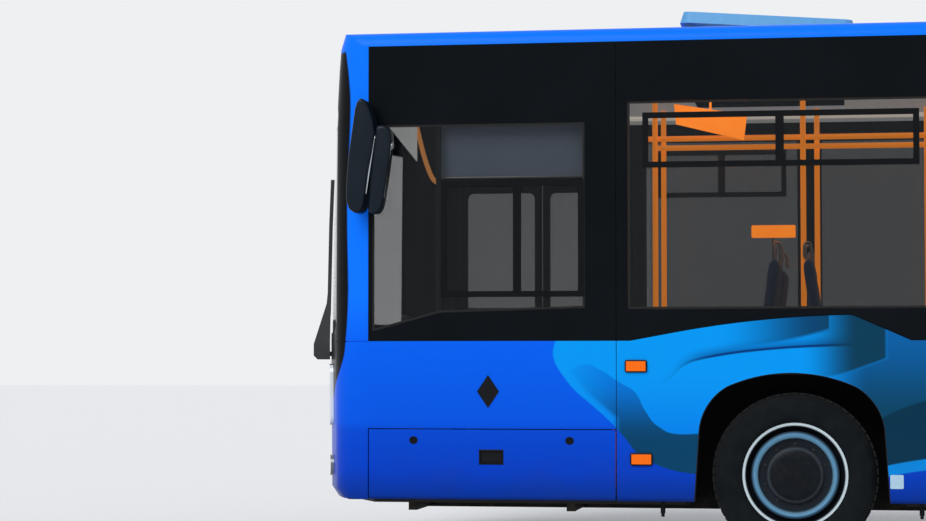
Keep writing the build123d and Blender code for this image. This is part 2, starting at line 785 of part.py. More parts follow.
for doorway, middle_x in doorways.items():
    for leaf_name, hand in (("fore", 1), ("aft", -1)):
        column_x = middle_x - hand * (doorway_w / 2 - column_set)
        save(door_column(column_x, hand), f"{doorway}_door_{leaf_name}_column")
        save(door_leaf(column_x, hand), f"{doorway}_door_{leaf_name}_leaf")
        save(door_glass(column_x, hand), f"{doorway}_door_{leaf_name}_glass")

# Floor: one low deck with cut-outs for the wheel boxes, reaching out to the sills and the flap's hinges
front_box_half_l = tyre_r + 150
rear_box_half_l = tyre_r + 90
front_box_y = 520.0
rear_box_y = twin_centre_y - twin_half_gap - tyre_half_w - 68
box_top_z = hub_z + tyre_r + 120
boxes = (
    ((front_axle - front_box_half_l, front_axle + front_box_half_l), front_box_y),
    ((rear_axle - rear_box_half_l, rear_axle + rear_box_half_l), rear_box_y),
)
floor_front_x = nose_x + 440
frame_top_z = floor_z - floor_thick
floor_nose = (150.0, 300.0)
tab_r = 11.0
with BuildPart() as floor:
    with BuildSketch(Plane.XY.offset(frame_top_z)):
        Polygon(
            (engine_x, inner),
            (floor_front_x, inner),
            (floor_front_x - floor_nose[0], inner - floor_nose[1]),
            (floor_front_x - floor_nose[0], floor_nose[1] - inner),
            (floor_front_x, -inner),
            (engine_x, -inner),
            align=None,
        )
        for x0, x1 in doorway_edges:
            with Locations(((x0 + x1) / 2, side - lip - wall / 2)):
                Rectangle(x1 - x0, wall)
        for (x0, x1), y0 in boxes:
            for hand in (-1, 1):
                with Locations(((x0 + x1) / 2, hand * (y0 + side) / 2)):
                    Rectangle(x1 - x0, side - y0, mode=Mode.SUBTRACT)
    extrude(amount=floor_thick)
    for x in flap_hinges_x:
        with BuildSketch(across_plane(x - hinge_half_w)):
            with Locations(flap_axis):
                Circle(tab_r)
            with Locations(((flap_axis[0] - inner) / 2, flap_axis[1])):
                Rectangle(-inner - flap_axis[0], 2 * tab_r)
        extrude(amount=2 * hinge_half_w)
        if frame_top_z > flap_axis[1]:
            riser_z = (flap_axis[1] - tab_r, frame_top_z + 10)
            block((x - hinge_half_w, x + hinge_half_w), (-inner - 12, -inner + 1), riser_z)
        with BuildSketch(across_plane(x - hinge_pin_half)):
            with Locations(flap_axis):
                Circle(hinge_pin_r)
        extrude(amount=2 * hinge_pin_half)
save(floor, "floor")

# Raised parts of the floor: engine bulkhead and deck, the driver's platform and the four wheel boxes
cab_step_x = (floor_front_x, cab_seam - 60)
cab_step_y = (-inner, -300.0)
deck_end_x = tail_x - 110
deck_end_y = side - 210
with BuildPart() as floor_boxes:
    block((engine_x, engine_x + sheet), (-inner, inner), (frame_top_z, deck_z - sheet))
    block((engine_x, rear_seam), (-inner, inner), (deck_z - sheet, deck_z))
    block((rear_seam, deck_end_x), (-deck_end_y, deck_end_y), (deck_z - sheet, deck_z))
    block(cab_step_x, cab_step_y, (floor_z, cab_floor_z))
    block(
        (cab_step_x[0] + sheet, cab_step_x[1] - sheet),
        (cab_step_y[0] - 1, cab_step_y[1] - sheet),
        (floor_z - 1, cab_floor_z - sheet),
        mode=Mode.SUBTRACT,
    )
    for (x0, x1), y0 in boxes:
        for hand in (-1, 1):
            y_out = sorted((hand * y0, hand * inner))
            y_in = sorted((hand * (y0 + sheet), hand * (inner + 5)))
            block((x0, x1), y_out, (frame_top_z, box_top_z))
            hollow_z = (frame_top_z - 5, box_top_z - sheet)
            block((x0 + sheet, x1 - sheet), y_in, hollow_z, mode=Mode.SUBTRACT)
save(floor_boxes, "floor_boxes")

# Underframe: box rails, cross tubes and outriggers under the floor, each seated on the next, with
# short rails past the axles, spring seats over them and a tow eye at each end
rail_y = 430.0
rail_w = 60.0
rail_z = 235.0
rung_w = 60.0
rung_step = 10.0
rung_pitch = 900.0
outrigger_w = 50.0
outrigger_h = 50.0
outrigger_y = side - 150
axle_gap = 330.0
spring_seat_r = 100.0
beam_top_z = {front_axle: 255.0, rear_axle: 260.0}
stub_low_z = {front_axle: rail_z + 29, rear_axle: rail_z}
stub_in = spring_seat_r + seat_gap
tow_r = 45.0
tow_hole_r = 21.0
tow_z = (250.0, 286.0)
tow_in = 75.0
rail_out = rail_y + rail_w / 2
rail_in = rail_y - rail_w / 2
frame_spans = (
    (nose_x + 620, front_axle - axle_gap),
    (front_axle + axle_gap, rear_axle - axle_gap),
    (rear_axle + axle_gap, tail_x - 360),
)
tow_rows = (
    (frame_spans[0][0] - seat_gap, nose_x + tow_in),
    (frame_spans[-1][1] + seat_gap, tail_x - tow_in),
)
with BuildPart() as underframe:
    for x0, x1 in frame_spans:
        rungs = max(3, round((x1 - x0) / rung_pitch))
        rung_xs = [x0 + rung_w / 2 + i * (x1 - x0 - rung_w) / (rungs - 1) for i in range(rungs)]
        for x in rung_xs:
            rung_y = (-rail_in + seat_gap, rail_in - seat_gap)
            block((x - rung_w / 2, x + rung_w / 2), rung_y, (rail_z + rung_step, frame_top_z))
        for hand in (-1, 1):
            block((x0, x1), (hand * rail_in, hand * rail_out), (rail_z, frame_top_z))
            for x in rung_xs:
                if all(abs(x - axle_x) > front_box_half_l + 40 for axle_x in axles):
                    block(
                        (x - outrigger_w / 2, x + outrigger_w / 2),
                        (hand * (rail_out + seat_gap), hand * outrigger_y),
                        (frame_top_z - outrigger_h, frame_top_z),
                    )
    for x_root, x_tip in tow_rows:
        with BuildSketch(Plane.XY.offset(tow_z[0])):
            with Locations(((x_root + x_tip) / 2, 0)):
                Rectangle(abs(x_tip - x_root), 2 * tow_r)
            with Locations((x_tip, 0)):
                Circle(tow_r)
                Circle(tow_hole_r, mode=Mode.SUBTRACT)
        extrude(amount=tow_z[1] - tow_z[0])
    for axle_x in axles:
        seat_z = beam_top_z[axle_x] + seat_gap
        with BuildSketch(Plane.XY.offset(seat_z)):
            with Locations((axle_x, -rail_y), (axle_x, rail_y)):
                Circle(spring_seat_r)
        extrude(amount=frame_top_z - seat_z)
        for end in (-1, 1):
            stub_x = (axle_x + end * stub_in, axle_x + end * (axle_gap - seat_gap))
            for hand in (-1, 1):
                block(stub_x, (hand * rail_in, hand * rail_out), (stub_low_z[axle_x], frame_top_z))
save(underframe, "underframe")

# Engine, gearbox and cooling pack as one block over the tail's frame
engine_y = (-780.0, 520.0)
engine_top_z = 960.0
with BuildPart() as engine:
    block((engine_x + 100, tail_x - 300), engine_y, (frame_top_z, engine_top_z))
save(engine, "engine")

# Front axle: a dropped forged beam with a boss at each kingpin
kingpin_y = 860.0
kingpin_r = 28.0
boss_r = 46.0
boss_half_h = 40.0
boss_z = (hub_z - boss_half_h, hub_z + boss_half_h)
beam_half_x = 40.0
beam_z = (170.0, beam_top_z[front_axle])
beam_low = ((kingpin_y - 45, hub_z - 34), (kingpin_y - 120, hub_z - 70), (kingpin_y - 260, beam_z[0]))
beam_high = ((kingpin_y - 45, hub_z + 34), (kingpin_y - 100, hub_z + 34), (kingpin_y - 260, beam_z[1]))
with BuildPart() as front_beam:
    with BuildSketch(across_plane(front_axle - beam_half_x)):
        Polygon(
            *[(-y, z) for y, z in beam_low],
            *[(y, z) for y, z in reversed(beam_low)],
            *[(y, z) for y, z in beam_high],
            *[(-y, z) for y, z in reversed(beam_high)],
            align=None,
        )
    extrude(amount=2 * beam_half_x)
    for hand in (-1, 1):
        with BuildSketch(Plane.XY.offset(boss_z[0])):
            with Locations((front_axle, hand * kingpin_y)):
                Circle(boss_r)
        extrude(amount=boss_z[1] - boss_z[0])
        with BuildSketch(Plane.XY.offset(boss_z[0])):
            with Locations((front_axle, hand * kingpin_y)):
                Circle(kingpin_r + run_clear)
        extrude(amount=boss_z[1] - boss_z[0], mode=Mode.SUBTRACT)
save(front_beam, "front_axle")

# Steering knuckles: ears above and below the boss, the stub axle and the arm down to the tie rod
ear_gap = 6.0
ear_h = 44.0
knuckle_out = 104.0
web_y = boss_r + ear_gap
stub_r = 45.0
stub_over = 40.0
arm_x = 180.0
arm_w = 50.0
arm_h = 30.0
arm_boss_r = 24.0
tie_z = 240.0
tie_r = 15.0
tie_pin_r = 10.0
eye_half_h = 20.0
eye_r = 26.0


def knuckle(hand):
    """One knuckle, around its kingpin. hand is +1 on the kerb side."""
    y = hand * kingpin_y
    low = boss_z[0] - ear_gap - ear_h
    high = boss_z[1] + ear_gap + ear_h
    with BuildPart() as body:
        for z in (low, boss_z[1] + ear_gap):
            with BuildSketch(Plane.XY.offset(z)):
                with Locations((front_axle, y)):
                    Circle(boss_r)
                with Locations((front_axle, y + hand * knuckle_out / 2)):
                    Rectangle(2 * boss_r, knuckle_out)
            extrude(amount=ear_h)
        with BuildSketch(Plane.XY.offset(low)):
            with Locations((front_axle, y)):
                Circle(kingpin_r)
        extrude(amount=high - low)
        web = (y + hand * web_y, y + hand * knuckle_out)
        block((front_axle - boss_r, front_axle + boss_r), web, (low, high))
        with BuildSketch(side_plane(y + hand * (knuckle_out - 4))):
            with Locations((front_axle, hub_z)):
                Circle(stub_r)
        extrude(amount=-hand * (tyre_track_y + stub_over - kingpin_y - knuckle_out + 4))
        with BuildSketch(Plane.XY.offset(low)):
            with Locations((front_axle + arm_x / 2, y)):
                SlotCenterToCenter(arm_x, arm_w)
        extrude(amount=arm_h)
        with BuildSketch(Plane.XY.offset(tie_z + eye_half_h + 6)):
            with Locations((front_axle + arm_x, y)):
                Circle(arm_boss_r)
        extrude(amount=low - tie_z - eye_half_h)
        with BuildSketch(Plane.XY.offset(tie_z - eye_half_h - 4)):
            with Locations((front_axle + arm_x, y)):
                Circle(tie_pin_r)
        extrude(amount=2 * eye_half_h + 12)
    return body


for hand, name in ((-1, "left"), (1, "right")):
    save(knuckle(hand), f"{name}_knuckle")

# Tie rod: a straight tube with an eye on each knuckle's pin
with BuildPart() as tie_rod:
    with BuildSketch(side_plane(kingpin_y)):
        with Locations((front_axle + arm_x, tie_z)):
            Circle(tie_r)
    extrude(amount=2 * kingpin_y)
    for radius, mode in ((eye_r, Mode.ADD), (tie_pin_r + run_clear, Mode.SUBTRACT)):
        with BuildSketch(Plane.XY.offset(tie_z - eye_half_h)):
            with Locations((front_axle + arm_x, -kingpin_y), (front_axle + arm_x, kingpin_y)):
                Circle(radius)
        extrude(amount=2 * eye_half_h, mode=mode)
save(tie_rod, "tie_rod")

# Rear portal axle: a low beam between upright gear housings, and the spindles
rear_spindle_r = 60.0
rear_spindle_l = 330.0
rear_beam_z = 205.0
rear_beam_h = 110.0
rear_beam_half_x = 90.0
differential_y = -160.0
differential_r = 68.0
housing_w = 280.0
housing_z = (150.0, hub_z + 130)
housing_out = twin_centre_y - twin_half_gap - tyre_half_w - swing_gap
housing_thick = 38.0
with BuildPart() as rear_beam:
    with BuildSketch(across_plane(rear_axle - rear_beam_half_x)):
        with Locations((0, rear_beam_z)):
            RectangleRounded(2 * housing_out, rear_beam_h, 20)
        with Locations((differential_y, rear_beam_z)):
            Circle(differential_r)
    extrude(amount=2 * rear_beam_half_x)
    for hand in (-1, 1):
        with BuildSketch(side_plane(hand * housing_out)):
            with Locations((rear_axle, (housing_z[0] + housing_z[1]) / 2)):
                RectangleRounded(housing_w, housing_z[1] - housing_z[0], 100)
        extrude(amount=hand * housing_thick)
        with BuildSketch(side_plane(hand * housing_out)):
            with Locations((rear_axle, hub_z)):
                Circle(rear_spindle_r)
        extrude(amount=-hand * rear_spindle_l)
save(rear_beam, "rear_axle")


# Wheels. A section's points are radius and offset from the wheel's middle, + towards the bus's side.
def wheel_plane(x, y):
    """The level plane through a wheel's centre."""
    return Plane(origin=(x, y, hub_z), x_dir=(1, 0, 0), z_dir=(0, 0, 1))


def turned(x, y, hand, points):
    """Closes a section and turns it about the wheel's axis."""
    with BuildPart() as shape:
        with BuildSketch(wheel_plane(x, y)):
            with BuildLine() as outline:
                Polyline(*[(r, hand * o) for r, o in points], close=True)
            make_face(outline.line)
        revolve(axis=Axis((x, y, hub_z), (0, 1, 0)))
    return shape.part


bead = (16.0, 96.0)
bead_half_w = 100.0
bulge_r = (rim_r + tyre_r) / 2 + 4
shoulder_r = tyre_r - 22
shoulder_half_w = tyre_half_w - 17
tread_half_w = tyre_half_w - 41


def tyre(x, y):
    """Section with beads, round side walls, shoulders and a flat tread."""
    with BuildPart() as shape:
        with BuildSketch(wheel_plane(x, y)):
            with BuildLine():
                Polyline(
                    (rim_r + bead[0], bead[1]),
                    (rim_r, bead_half_w),
                    (rim_r, -bead_half_w),
                    (rim_r + bead[0], -bead[1]),
                )
                for face in (-1, 1):
                    ThreePointArc(
                        (rim_r + bead[0], face * bead[1]),
                        (bulge_r, face * tyre_half_w),
                        (shoulder_r, face * shoulder_half_w),
                    )
                    Line((shoulder_r, face * shoulder_half_w), (tyre_r, face * tread_half_w))
                Line((tyre_r, tread_half_w), (tyre_r, -tread_half_w))
            make_face()
        revolve(axis=Axis((x, y, hub_z), (0, 1, 0)))
    return shape.part


# The front wheel is an offset disc with a raised shoulder ring, its hub and the hub's cap
hub_cap_r = 155.0
hub_r = 80.0
flange_out = (104.0, 112.0)
front_rim_section = (
    (rim_r, flange_out[0]),
    (flange_r, flange_out[0]),
    (flange_r, flange_out[1]),
    (rim_r - 8, flange_out[1]),
    (rim_r - 16, 60),
    (rim_r - 30, 50),
    (rim_r - 36, 92),
    (rim_r - 54, 104),
    (rim_r - 74, 98),
    (rim_r - 82, 70),
    (hub_cap_r + 3, 66),
    (hub_cap_r, 96),
    (hub_cap_r - 18, 108),
    (0, 112),
    (0, stub_over + 2),
    (hub_r, stub_over + 2),
    (hub_r, -40),
    (stub_r + run_clear, -40),
    (stub_r + run_clear, -60),
    (150, -60),
    (160, 42),
    (240, 36),
    (rim_r - 24, 20),
    (rim_r - 16, -100),
    (rim_r - 8, -flange_out[1]),
    (flange_r, -flange_out[1]),
    (flange_r, -flange_out[0]),
    (rim_r, -flange_out[0]),
)

# The rear wheels are twin rims bolted disc to disc on one hub, so the outer one is deeply dished
disc = 18.0
rear_barrel_section = (
    (rim_r, flange_out[0]),
    (flange_r, flange_out[0]),
    (flange_r, flange_out[1]),
    (rim_r - 8, flange_out[1]),
    (rim_r - 18, 90),
    (rim_r - 18, -90),
    (rim_r - 8, -flange_out[1]),
    (flange_r, -flange_out[1]),
    (flange_r, -flange_out[0]),
    (rim_r, -flange_out[0]),
)
rear_hub_section = (
    (rear_spindle_r + run_clear, -250),
    (110, -250),
    (110, -disc),
    (250, -disc),
    (rim_r - 16, -disc - 50),
    (rim_r - 10, -disc - 40),
    (rim_r - 10, disc + 40),
    (rim_r - 16, disc + 50),
    (250, disc),
    (150, disc),
    (140, 150),
    (100, 180),
    (0, 180),
    (0, 60),
    (rear_spindle_r + run_clear, 60),
)
twin_rows = (twin_centre_y - twin_half_gap, twin_centre_y + twin_half_gap)

for hand, name in ((-1, "left"), (1, "right")):
    with BuildPart() as front_rim:
        add(turned(front_axle, hand * tyre_track_y, hand, front_rim_section))
    save(front_rim, f"front_{name}_rim")
    with BuildPart() as front_tyre:
        add(tyre(front_axle, hand * tyre_track_y))
    save(front_tyre, f"front_{name}_tyre")
    with BuildPart() as rear_rims:
        for y in twin_rows:
            add(turned(rear_axle, hand * y, hand, rear_barrel_section))
        add(turned(rear_axle, hand * twin_centre_y, hand, rear_hub_section))
    save(rear_rims, f"rear_{name}_rims")
    with BuildPart() as rear_tyres:
        for y in twin_rows:
            add(tyre(rear_axle, hand * y))
    save(rear_tyres, f"rear_{name}_tyres")

# Ceiling: a flat liner between the walls, open under the hatch
with BuildPart() as ceiling:
    block((front_seam + 10, rear_seam), (-inner, inner), (ceiling_z, ceiling_z + sheet))
    block(hole_x, hole_y, (ceiling_z, ceiling_z + sheet), mode=Mode.SUBTRACT)
save(ceiling, "ceiling")

# Seats. Columns of a row: x and y of the cushion's middle, floor under it, facing (-1 is towards the
# nose), width, and height of the cushion's top above that floor. The last row is the driver's.
pair_w = 800.0
pair_y = inner - 20 - pair_w / 2
low_rise = 470.0
box_rise = 230.0
cushion_l = 430.0
cushion_h = 70.0
back_h = 435.0
back_t = (64.0, 56.0)
back_hollow = 14.0
lean_deg = 8.0
foot_half_l = 130.0
driver_y = -760.0
bench_pitch = 470.0
back_to_back = ((front_axle, -418, 388), (rear_axle, -345, 345))
saloon_x = (front_axle + 1180, rear_axle - 990)
saloon_count = 6
saloon_rows = [
    saloon_x[0] + i * (saloon_x[1] - saloon_x[0]) / (saloon_count - 1) for i in range(saloon_count)
]
seat_rows = [
    (axle_x + dx, hand * pair_y, box_top_z, facing, pair_w, box_rise)
    for axle_x, fore, aft in back_to_back
    for dx, facing in ((fore, -1), (aft, 1))
    for hand in (-1, 1)
]
seat_rows += [
    (x, hand * pair_y, floor_z, -1, pair_w, low_rise)
    for hand in (-1, 1)
    for x in saloon_rows
    if hand < 0 or abs(x - doorways["middle"]) > doorway_w / 2 + 300
]
seat_rows += [
    (rear_axle + dx, hand * pair_y, floor_z, -1, pair_w, low_rise)
    for dx in (950, 1680)
    for hand in (-1, 1)
]
seat_rows += [(tail_x - 700, i * bench_pitch, deck_z, -1, 440, box_rise) for i in (-2, -1, 0, 1, 2)]
seat_rows += [(cab_seam - 460, driver_y, cab_floor_z, -1, 500, 460)]


def seat_top(seat):
    """Places of a seat back: its foot and its leaning top along x, and its two heights."""
    x, y, base, facing, seat_w, rise = seat
    low, high = base + rise - cushion_h, base + rise + back_h
    foot = x - facing * (cushion_l / 2 + seat_gap)
    return foot, foot - facing * (high - low) * tan(radians(lean_deg)), low, high


with BuildPart() as seat_cushions:
    for x, y, base, facing, seat_w, rise in seat_rows:
        top = base + rise
        y_edges = (y - seat_w / 2, y + seat_w / 2)
        block((x - cushion_l / 2, x + cushion_l / 2), y_edges, (top - cushion_h, top))
save(seat_cushions, "seat_cushions")

with BuildPart() as seat_backs:
    for seat in seat_rows:
        foot, top_x, low, high = seat_top(seat)
        y, facing, seat_w = seat[1], seat[3], seat[4]
        middle = ((foot + top_x) / 2 - facing * back_hollow, (low + high) / 2)
        with BuildSketch(side_plane(y + seat_w / 2)):
            with BuildLine():
                ThreePointArc((foot, low), middle, (top_x, high))
                Line((top_x, high), (top_x - facing * back_t[1], high))
                ThreePointArc(
                    (top_x - facing * back_t[1], high),
                    (middle[0] - facing * (back_t[0] - back_hollow / 2), middle[1]),
                    (foot - facing * back_t[0], low),
                )
                Line((foot - facing * back_t[0], low), (foot, low))
            make_face()
        extrude(amount=seat_w)
save(seat_backs, "seat_backs")

# Seat frames: a tapered pedestal under each cushion, standing towards the wall on the pair seats
pedestal_w = 240.0
pedestal_foot_w = 180.0
with BuildPart() as seat_frames:
    for x, y, base, facing, seat_w, rise in seat_rows:
        shift = 0 if seat_w < pair_w else 90 * (1 if y > 0 else -1)
        top = base + rise - cushion_h - seat_gap
        with BuildSketch(Plane.XY.offset(base)):
            with Locations((x, y + shift)):
                RectangleRounded(2 * foot_half_l - 40, pedestal_foot_w, 30)
        with BuildSketch(Plane.XY.offset(top)):
            with Locations((x, y + shift)):
                RectangleRounded(2 * foot_half_l, pedestal_w, 30)
        loft()
save(seat_frames, "seat_frames")

# Seat handles: a bent tube on the aisle-side shoulder of every passenger seat
handle_r = 8.0
handle_half = 24.0
handle_leg = 62.0
handle_turn = 55.0
handle_in = 110.0
with BuildPart() as seat_handles:
    for seat in seat_rows[:-1]:
        foot, top_x, low, high = seat_top(seat)
        x = top_x - seat[3] * back_t[1] / 2
        seat_w = seat[4]
        places = (seat[1],) if seat_w < pair_w else (seat[1] - pair_w / 4, seat[1] + pair_w / 4)
        for y_mid in places:
            inward = -1 if y_mid > 0 else 1
            y = y_mid + inward * handle_in
            hoop = Plane(
                origin=(x, y, high + handle_leg),
                x_dir=(sin(radians(handle_turn)), cos(radians(handle_turn)), 0),
                z_dir=(cos(radians(handle_turn)), -sin(radians(handle_turn)), 0),
            )
            ends = [hoop.from_local_coords((end * handle_half, 0, 0)) for end in (-1, 1)]
            with BuildSketch(Plane.XY.offset(high)):
                with Locations(*[(end.X, end.Y) for end in ends]):
                    Circle(handle_r)
            extrude(amount=handle_leg)
            with BuildSketch(Plane(origin=ends[1], x_dir=hoop.x_dir, z_dir=(0, 0, 1))):
                Circle(handle_r)
            revolve(axis=Axis(hoop.origin, hoop.z_dir), revolution_arc=180)
save(seat_handles, "seat_handles")

# Driver's desk with the steering wheel. Desk points are distance behind the nose and height.
desk_y = (-1130.0, 40.0)
desk_outline = (
    (400, cab_floor_z),
    (10, 1100),
    (10, 1240),
    (520, 1250),
    (670, 1170),
    (670, 1100),
    (530, 1020),
    (500, cab_floor_z),
)
wheel_tilt = radians(28)
wheel_base = (nose_x + 650, 1150.0)
wheel_reach = 140.0
wheel_foot = 60.0
steering_r = 225.0
steering_rim = 28.0
with BuildPart() as dashboard:
    with BuildSketch(side_plane(desk_y[1])):
        Polygon(*[(nose_x + x, z) for x, z in desk_outline], align=None)
    extrude(amount=desk_y[1] - desk_y[0])
    add(end_solid(front_rows, -1, nose_x + 1000, mask_wall + seat_gap), mode=Mode.INTERSECT)
    column_dir = (sin(wheel_tilt), 0, cos(wheel_tilt))
    foot_x = wheel_base[0] - wheel_foot * sin(wheel_tilt)
    foot_z = wheel_base[1] - wheel_foot * cos(wheel_tilt)
    with BuildSketch(Plane(origin=(foot_x, driver_y, foot_z), x_dir=(0, 1, 0), z_dir=column_dir)):
        Circle(34)
    extrude(amount=wheel_foot + wheel_reach)
    rim_x = wheel_base[0] + wheel_reach * sin(wheel_tilt)
    rim_top_z = wheel_base[1] + wheel_reach * cos(wheel_tilt)
    with BuildSketch(Plane(origin=(rim_x, driver_y, rim_top_z), x_dir=(0, 1, 0), z_dir=column_dir)):
        Circle(steering_r)
        Circle(steering_r - steering_rim, mode=Mode.SUBTRACT)
        Circle(62)
        with PolarLocations(steering_r - 97, 4):
            Rectangle(160, 34)
    extrude(amount=24)
save(dashboard, "dashboard")

# Partition behind the driver, and the low screen beside the aisle
partition_x = cab_seam - 60
partition_y = (-280.0, -250.0)
screen_l = 950.0
partition_top_z = 2150.0
screen_top_z = 1450.0
with BuildPart() as cab_partition:
    block((partition_x, partition_x + 30), (-inner, partition_y[1]), (floor_z, partition_top_z))
    block((partition_x - screen_l, partition_x), partition_y, (floor_z, screen_top_z))
save(cab_partition, "cab_partition")

# Handrails: posts from floor to ceiling, and a rail clamped to their inner sides over the aisle
rail_r = 17.0
post_row_y = 345.0
over_y = post_row_y - 2 * rail_r - seat_gap
over_z = 2480.0
over_end = 60.0
post_rows = (
    front_axle - 854,
    front_axle + 800,
    front_axle + 2280,
    front_axle + 3810,
    rear_axle - 620,
    rear_axle + 650,
    rear_axle + 1930,
)
stanchions = [(x, hand * post_row_y) for x in post_rows for hand in (-1, 1)]
stanchions += [(front_axle + 41, -post_row_y), (front_axle + 116, post_row_y)]
with BuildPart() as handrails:
    with BuildSketch(Plane.XY.offset(floor_z)):
        with Locations(*stanchions):
            Circle(rail_r)
    extrude(amount=ceiling_z - floor_z)
    with BuildSketch(across_plane(post_rows[0] - over_end)):
        with Locations((-over_y, over_z), (over_y, over_z)):
            Circle(rail_r)
    extrude(amount=post_rows[-1] - post_rows[0] + 2 * over_end)
save(handrails, "handrails")

# Mirrors: an arm from each front corner bends down into a long curved housing, with a slimmer second
# housing behind it. Outline points are distance behind the nose and height.
mirror_front = (
    (320, 2050),
    (377, 2604),
    (406, 2636),
    (447, 2592),
    (488, 2450),
    (426, 2020),
    (395, 1972),
    (345, 1992),
)
mirror_bow = ((334, 2310), (446, 2213))
mirror_back = ((440, 1975), (499, 1970), (528, 2025), (563, 2254), (581, 2404), (570, 2466), (478, 2486))
mirror_y = (side + 48, side + 212)
second_y = (side + 66, side + 176)
mirror_round = 24.0
mirror_arm_z = (2520.0, 2590.0)
mirror_arm_x = (356.0, 408.0)
mirror_arm_in = 40.0
kerb_forward = 140.0


def mirror_head(hand):
    """Both housings of one mirror and its arm. The kerb-side one stands further forward."""
    shift = nose_x - (kerb_forward if hand > 0 else 0)
    with BuildPart() as head:
        with BuildSketch(side_plane(max(hand * mirror_y[0], hand * mirror_y[1]))):
            with BuildLine():
                front = [(shift + x, z) for x, z in mirror_front]
                bow = [(shift + x, z) for x, z in mirror_bow]
                ThreePointArc(front[0], bow[0], front[1])
                Polyline(*front[1:5])
                ThreePointArc(front[4], bow[1], front[5])
                Polyline(*front[5:], front[0])
            make_face()
        extrude(amount=mirror_y[1] - mirror_y[0])
        fillet(head.edges().group_by(Axis.Y)[0] + head.edges().group_by(Axis.Y)[-1], mirror_round)
        with BuildSketch(side_plane(max(hand * second_y[0], hand * second_y[1]))):
            Polygon(*[(shift + x, z) for x, z in mirror_back], align=None)
        extrude(amount=second_y[1] - second_y[0])
        arm_y = (hand * (side - 60), hand * (mirror_y[0] + mirror_arm_in))
        arm_x_span = (shift + mirror_arm_x[0], shift + mirror_arm_x[1])
        block(arm_x_span, arm_y, mirror_arm_z)
        if hand > 0:
            root = (hand * (side - 60), hand * (mirror_y[0] - 8))
            block((arm_x_span[0], arm_x_span[1] + kerb_forward), root, mirror_arm_z)
        add(end_solid(front_rows, -1, front_seam, -seat_gap), mode=Mode.SUBTRACT)
    return head.part


with BuildPart() as mirrors:
    for hand in (-1, 1):
        add(mirror_head(hand))
save(mirrors, "mirrors")

# Wipers, parked upright: a spindle through the mask, a cranked arm that stands well off the face at
# its foot, and a blade along the glass
wiper_knee_z = 1470.0
wiper_top_z = 1830.0
wiper_lean = 90.0
blade_z = (1400.0, 2230.0)
blade_w = 24.0
blade_gap = (-30.0, -8.0)
arm_half_w = 24.0


def wiper(y, foot):
    """One wiper with its spindle at y. Its foot stands off the mask by foot."""
    bow_r = bow_radius(front_rows[2][2])
    face_x = nose_x + bow_r - (bow_r**2 - y**2) ** 0.5
    arm_profile = (
        (face_x + 60, wiper_z - 34),
        (face_x - foot + 24, wiper_z - 34),
        (face_x - foot, wiper_z - 10),
        (face_x - foot, wiper_z + 60),
        (face_x - 34, wiper_knee_z),
        (face_x - 12, wiper_top_z),
        (face_x + 60, wiper_top_z),
    )
    with BuildPart() as arm:
        with BuildSketch(side_plane(y + 2 * wiper_lean)):
            Polygon(*arm_profile, align=None)
        extrude(amount=4 * wiper_lean)
        with BuildSketch(across_plane(nose[0])):
            Polygon(
                (y - arm_half_w, wiper_z - 34),
                (y + arm_half_w, wiper_z - 34),
                (y + arm_half_w, wiper_z + 60),
                (y + wiper_lean + arm_half_w / 3, wiper_top_z),
                (y + wiper_lean - arm_half_w / 3, wiper_top_z),
                (y - arm_half_w, wiper_z + 60),
                align=None,
            )
        extrude(amount=nose[1] - nose[0], mode=Mode.INTERSECT)
        add(end_solid(front_rows, -1, front_seam, blade_gap[1]), mode=Mode.SUBTRACT)
        blade = opening(nose, blade_w / 2, blade_z, blade_w / 2 - 1, y_mid=y + wiper_lean)
        add(end_shell(front_rows, -1, front_seam, blade_gap, blade))
        pin = opening(nose, spindle_r, (wiper_z - spindle_r, wiper_z + spindle_r), spindle_r - 0.5, y_mid=y)
        add(end_shell(front_rows, -1, front_seam, (blade_gap[1] - 4, mask_wall), pin))
    return arm.part


with BuildPart() as wipers:
    for y, foot in wiper_rows:
        add(wiper(y, foot))
save(wipers, "wipers")

# Side marker lamps. Columns: side, x, height.
marker_half = (56.0, 28.0)
marker_thick = 14.0
low_marker_z = 559.0
marker_rows = [(-1, front_axle - 897, 1090), (-1, front_axle - 867, low_marker_z)]
marker_rows += [(1, front_axle - 900, low_marker_z)]
marker_rows += [
    (hand, x, low_marker_z)
    for hand in (-1, 1)
    for x in (front_axle + 1730, rear_axle - 1370, rear_axle + 2180)
]
with BuildPart() as side_markers:
    for hand, x, z in marker_rows:
        block(
            (x - marker_half[0], x + marker_half[0]),
            (hand * side, hand * (side + marker_thick)),
            (z - marker_half[1], z + marker_half[1]),
        )
save(side_markers, "side_markers")
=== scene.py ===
import json
from math import atan, cos, pi, radians

import bmesh
import bpy
from mathutils import Matrix, Vector

